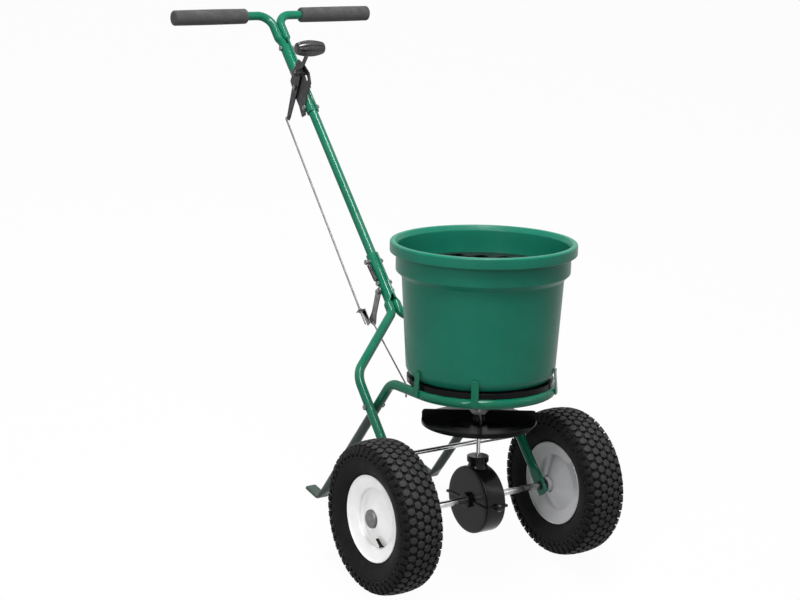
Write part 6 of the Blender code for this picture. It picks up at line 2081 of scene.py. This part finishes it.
@dataclass
class Controls(SubAssembly):
    """Rate lever with its knob, gauge and stop, and the linkage down to the shutter."""

    gauge_x: float = -0.01555
    lever_x: float = -0.01930
    plate_wall: float = 0.0025
    lever_wall: float = 0.003
    lever_pivot: Pair = (0.547, 0.0)
    lever_pin: Pair = (0.513, -0.067)
    lever_knee: Pair = (0.560, 0.029)
    lever_top: Pair = (0.575, 0.103)
    crank_pin: Pair = (-0.026, -0.071)
    crank_wire: Pair = (-0.034, -0.060)
    spring_ear: Pair = (0.0115, 0.0065)
    knob_length: float = 0.072
    knob_radius: float = 0.0185
    knob_end: float = 0.0115
    knob_ridges: int = 10
    stop_arc: float = 0.050
    stop_rest: float = radians(83)
    rod_radius: float = 0.0022
    rod_x: Pair = (-0.028, -0.036)
    rod_tail: float = -0.032
    wire_radius: float = 0.0017
    wire_foot: Triple = (-0.100, 0.118, 0.216)
    spring_bolt: float = 0.081
    coil_radius: float = 0.0046
    coil_wire: float = 0.0009
    curls: int = 17

    def build(self) -> None:
        """Make every piece of the controls."""
        self.bench.refined("gauge", "gauge_plate", self.finishes.dulled)
        self.bench.refined("lever_bar", "control_lever", self.finishes.dulled, Body.LEVER)
        self.bench.refined("crank_plate", "crank", self.finishes.zinc, Body.CRANK)
        self.bench.refined("clip", "rod_clip", self.finishes.zinc, Body.ROD, 0.0002)
        self.knob()
        self.stop()
        self.rod()
        self.wire()
        self.spring()

    def knob(self) -> None:
        """Barrel knob with lengthwise ridges.

        The radius follows a shallow arch from end to end, less the groove's depth where the cosine of as many turns
        as it has ridges is low.
        """
        half = self.knob_length / 2
        stem = np.array(self.lever_top) - np.array(self.lever_knee)
        centre = np.array(self.lever_top) + unit(stem) * (self.knob_radius * 0.25)
        body = np.linspace(-half + 0.003, half - 0.003, 30)
        arch = self.knob_end + (self.knob_radius - self.knob_end) * np.cos(body / half * pi / 2) ** 0.8
        ends = [(0.0, 0.0035), (0.0, 0.0085), (0.0012, 0.0098), (0.0020, self.knob_end - 0.0022)]
        rows = [(-half + x, r) for x, r in ends] + list(zip(body, arch)) + [(half - x, r) for x, r in reversed(ends)]
        profile = np.array(rows)
        sides = self.knob_ridges * 14
        wave = np.cos(self.knob_ridges * spread(sides))
        groove = smooth_step((-wave + 0.15) / 0.8)
        depth = 0.0021 * smooth_step((half - 0.0015 - np.abs(profile[:, 0])) / 0.006)
        swell = 1.0 - (depth / profile[:, 1])[:, None] * groove[None]
        grid = lathe(profile, sides, self.frame.on_handle(self.lever_x, *centre), X_AXIS, swell)
        self.bench.place("barrel_knob", "lever_knob", Shell().skin(grid), self.finishes.knob, Body.LEVER,
                         sharp=radians(55))

    def stop(self) -> None:
        """Thumb screw in the gauge's slot: washer, sleeve and a fluted barrel."""
        back = -(self.gauge_x + self.plate_wall / 2) - GAP
        front = -self.lever_x + self.lever_wall / 2 + 0.0012
        length, radius = 0.024, 0.0085
        rows = [(back - 0.003, 0.002), (back - 0.003, 0.0064), (back - 0.0026, 0.007), (back - 0.0003, 0.007),
                (back, 0.0066), (back, 0.0038), (front, 0.0038), (front, radius - 0.0012), (front + 0.0010, radius),
                (front + length * 0.5, radius), (front + length - 0.0016, radius), (front + length, radius - 0.0014),
                (front + length, 0.003), (front + length - 0.0012, 0.0022)]
        profile = np.array([(-x, r) for x, r in rows])
        sides = 96
        wave = np.cos(12 * spread(sides))
        groove = smooth_step((-wave - 0.2) / 0.5)
        fluted = ((profile[:, 1] > 0.0072) & (profile[:, 0] < -front)).astype(float)
        swell = 1.0 - 0.09 * fluted[:, None] * groove[None]
        place = (self.lever_pivot[0] + self.stop_arc * cos(self.stop_rest),
                 self.lever_pivot[1] + self.stop_arc * sin(self.stop_rest))
        grid = lathe(profile, sides, self.frame.on_handle(0, *place), X_AXIS, swell)
        self.bench.place("thumb_screw", "rate_stop", Shell().skin(grid), self.finishes.knob, Body.RATE_STOP,
                         sharp=radians(50))

    def on_rod(self, along: float) -> Points:
        """Point on the rod's line.

        Args:
            along: its distance along the handle.

        Returns:
            The point.
        """
        share = (self.lever_pin[0] - along) / (self.lever_pin[0] - self.rod_tail)
        out = self.lever_pin[1] + share * (self.crank_pin[1] - self.lever_pin[1])
        return self.frame.on_handle(self.rod_x[0] + share * (self.rod_x[1] - self.rod_x[0]), along, out)

    def rod(self) -> None:
        """Rod hooked into the lever, with its threaded tail and two nuts at the clip."""
        start = self.frame.on_handle(self.lever_x + self.lever_wall / 2 + 0.0015, *self.lever_pin)
        corner = self.frame.on_handle(self.rod_x[0], *self.lever_pin)
        path = spaced(filleted([start, corner, self.on_rod(self.rod_tail)], [0.006], radians(12)), 0.03)
        tip = np.array([path[0] + (path[1] - path[0]) * 0.1])
        path = np.vstack([path[:1], tip, path[1:]])
        sections = np.broadcast_to(circle(self.rod_radius, 16), (len(path), 16, 2)).copy()
        sections[[0, -1]] *= 0.7
        shell = Shell().skin(carried(path, sections, tuple(self.frame.along)))
        axis = unit(self.on_rod(self.rod_tail) - self.on_rod(self.lever_pin[0]))
        ear_top, ear_low = 0.001 + 0.002 + GAP * 1.4, 0.001 - GAP * 1.4
        for along in (ear_top + 0.003, ear_low):
            rows = np.array([(0.0, 0.0036), (0.0003, 0.0044), (0.0027, 0.0044), (0.0030, 0.0036)])
            swell = np.minimum(hexagon(24)[None] * 0.0045, rows[:, 1:]) / rows[:, 1:]
            shell.skin(lathe(rows, 24, self.on_rod(along), axis, swell))
        self.bench.place("pull_rod", "control_rod", shell, self.finishes.drawn, Body.ROD)

    def wire(self) -> None:
        """Thin wire from the crank down to the shutter's arm."""
        start = self.frame.on_handle(self.lever_x + self.lever_wall / 2 + 0.0015, *self.crank_wire)
        beside = self.frame.on_handle(self.lever_x - self.lever_wall / 2 - self.wire_radius - 0.0012, *self.crank_wire)
        foot_top = np.array(self.wire_foot) + np.array([0, 0, 0.010])
        foot = np.array(self.wire_foot) - np.array([0, 0, 0.016])
        path = filleted([start, beside, foot_top, foot], [0.003, 0.006], radians(12))
        grid = carried(spaced(path, 0.03), circle(self.wire_radius, 16), (0.0, 0.0, 1.0))
        self.bench.place("shutter_link", "shutter_wire", Shell().skin(grid), self.finishes.drawn, Body.WIRE)

    def spring(self) -> None:
        """Return spring: a straight tail, an open helix that grows in and out over a curl, and another tail.

        The helix is the axis point, plus the coil radius times (cos t, sin t) across the axis.
        """
        start = self.frame.on_handle(self.lever_x, self.spring_bolt - 0.003 - GAP, 0.002)
        end = self.frame.on_handle(self.lever_x, self.spring_ear[0] + 0.0075, self.spring_ear[1] - 0.0005)
        axis = unit(end - start)
        upright = np.cross(axis, X_AXIS)
        first, last = start + axis * 0.004, end - axis * 0.011
        share = np.linspace(0.0, 1.0, self.curls * 24 + 1)[:, None]
        grow = np.clip(np.minimum(share, 1 - share) * self.curls / 0.62, 0.0, 1.0)
        angle = 2 * pi * self.curls * share
        helix = first + (last - first) * share + (X_AXIS * np.cos(angle) + upright * np.sin(angle)) * (
            self.coil_radius * grow)
        path = np.vstack([start, start + axis * 0.002, helix, end - axis * 0.006, end])
        shell = Shell().skin(carried(path, circle(self.coil_wire, 10)))
        spring = self.bench.place("pull_spring", "return_spring", shell, self.finishes.spring, sharp=radians(70))
        world = self.frame.to_world(np.array([start, end]))
        spring.parent = None
        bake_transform(spring)


# -------- studio


@dataclass
class Studio:
    """Pale floor, soft lights and the camera."""

    frame: MachineFrame
    camera_place: Triple = (-2.23032, -2.99819, 1.22709)
    yaw: float = radians(-34.1135)
    pitch: float = radians(12.3001)
    roll: float = radians(1.0521)
    lens: float = 85.63
    floor_size: float = 40.0
    floor_white: float = 0.97
    sky_light: float = 0.30

    def build(self) -> None:
        """Set up everything round the machine."""
        bpy.context.scene.view_settings.view_transform = "Standard"
        self.floor()
        self.world()
        self.lights()
        self.camera()

    def floor(self) -> None:
        """Pale floor that looks nearly white to the camera and keeps the machine's shadow."""
        half = self.floor_size / 2
        mesh = bpy.data.meshes.new("floor")
        mesh.from_pydata([(-half, -half, 0), (half, -half, 0), (half, half, 0), (-half, half, 0)], [], [(0, 1, 2, 3)])
        floor = in_scene("floor", mesh)
        material = bpy.data.materials.new("pale floor")
        material.use_nodes = True
        graph = Graph(material.node_tree)
        shader = graph.fill(material.node_tree.nodes["Principled BSDF"], {
            "Base Color": (0.46, 0.46, 0.46, 1.0), "Roughness": 0.9, "Specular IOR Level": 0.1})
        glow = graph.node("ShaderNodeEmission", {"Color": (1.0, 1.0, 1.0, 1.0), "Strength": 1.0})
        path = graph.node("ShaderNodeLightPath").outputs
        seen = graph.math("MAXIMUM", path["Is Camera Ray"], path["Is Glossy Ray"])
        share = graph.math("MULTIPLY", seen, self.floor_white)
        mixer = graph.node("ShaderNodeMixShader", {"0": share, "1": shader.outputs[0], "2": glow.outputs[0]})
        graph.fill(material.node_tree.nodes["Material Output"], {"Surface": mixer.outputs[0]})
        mesh.materials.append(material)

    def world(self) -> None:
        """White surroundings for the camera and for gloss, and a softer level for light."""
        world = bpy.data.worlds.new("studio")
        bpy.context.scene.world = world
        world.use_nodes = True
        graph = Graph(world.node_tree)
        world.node_tree.nodes.clear()
        path = graph.node("ShaderNodeLightPath").outputs
        seen = graph.math("MAXIMUM", path["Is Camera Ray"],
                          graph.math("MAXIMUM", path["Is Glossy Ray"], path["Is Transmission Ray"]))
        light = graph.node("ShaderNodeBackground", {"Color": (0.95, 0.97, 1.0, 1.0), "Strength": self.sky_light})
        white = graph.node("ShaderNodeBackground", {"Color": (1.0, 1.0, 1.0, 1.0), "Strength": 1.0})
        mixer = graph.node("ShaderNodeMixShader", {"0": seen, "1": light.outputs[0], "2": white.outputs[0]})
        graph.node("ShaderNodeOutputWorld", {"Surface": mixer.outputs[0]})

    def lights(self) -> None:
        """Three soft panels: key from the camera's left, fill from its right and one from above."""
        panels = (("key", (-2.6, -1.6, 2.4), 0.34, 2.2, 50.0), ("fill", (1.9, -2.2, 2.3), 0.4, 2.0, 6.0),
                  ("top", (-0.3, -0.45, 3.3), 0.7, 2.2, 170.0))
        target = Vector((0.0, -0.2, 0.45))
        for name, place, width, height, power in panels:
            data = bpy.data.lights.new(name, "AREA")
            data.shape, data.size, data.size_y, data.energy = "RECTANGLE", width, height, power
            lamp = in_scene(name, data)
            lamp.location = place
            lamp.rotation_euler = (target - Vector(place)).to_track_quat("-Z", "Y").to_euler()

    def camera(self) -> None:
        """Camera of the photograph, leaned back with the machine.

        Its back direction in the machine frame is (sin yaw · cos pitch, -cos yaw · cos pitch, sin pitch). Right is
        up crossed with back, and both are then rolled about the view.
        """
        back = np.array([sin(self.yaw) * cos(self.pitch), -cos(self.yaw) * cos(self.pitch), sin(self.pitch)])
        right = unit(np.cross([0.0, 0.0, 1.0], back))
        up = np.cross(back, right)
        rolled_right = cos(self.roll) * right + sin(self.roll) * up
        rolled_up = -sin(self.roll) * right + cos(self.roll) * up
        axes = self.frame.to_world(np.array([rolled_right, rolled_up, back])) - np.array(self.frame.origin)
        data = bpy.data.cameras.new("camera")
        data.lens, data.sensor_width, data.sensor_fit = self.lens, 36.0, "HORIZONTAL"
        data.clip_start, data.clip_end = 0.05, 100.0
        camera = in_scene("camera", data)
        turn = Matrix(axes.T.tolist()).to_4x4()
        place = self.frame.to_world(np.array(self.camera_place))
        camera.matrix_world = Matrix.Translation(Vector(place)) @ turn
        bpy.context.scene.camera = camera


def clear_start_scene() -> None:
    """Remove what a new file holds."""
    for item in list(bpy.data.objects):
        bpy.data.objects.remove(item, do_unlink=True)


def read_frame(joints: list[dict]) -> MachineFrame:
    """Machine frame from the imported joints: the axle's place, and the lean of the impeller's axis.

    Args:
        joints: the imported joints.

    Returns:
        The machine frame.
    """
    by_name = {joint["name"]: joint for joint in joints}
    axis = by_name["impeller_spin"]["axis"]
    return MachineFrame(tuple(by_name["axle_spin"]["pos_m"]), atan2(axis[1], axis[2]))


def main() -> None:
    """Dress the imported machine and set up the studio."""
    logging.basicConfig(level=logging.INFO, format="%(name)s: %(message)s", stream=sys.stdout)
    clear_start_scene()
    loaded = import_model()
    frame = read_frame(loaded["joints"])
    bench = Bench(frame, loaded["nodes"])
    finishes = Finishes(frame.origin)

    tubes = TubeFrame(bench, finishes)
    tubes.build()
    Fasteners(bench, finishes, tubes).build()
    HopperSet(bench, finishes).build()
    Spinner(bench, finishes).build()
    GearCase(bench, finishes).build()
    wheel = Wheel(bench, finishes)
    wheel.build(Side.RIGHT, Body.AXLE)
    wheel.build(Side.LEFT, Body.FREE_WHEEL)
    Axle(bench, finishes).build()
    Controls(bench, finishes).build()
    Studio(frame).build()
    log.info("%d pieces made", bench.made)


if __name__ == "__main__":
    main()
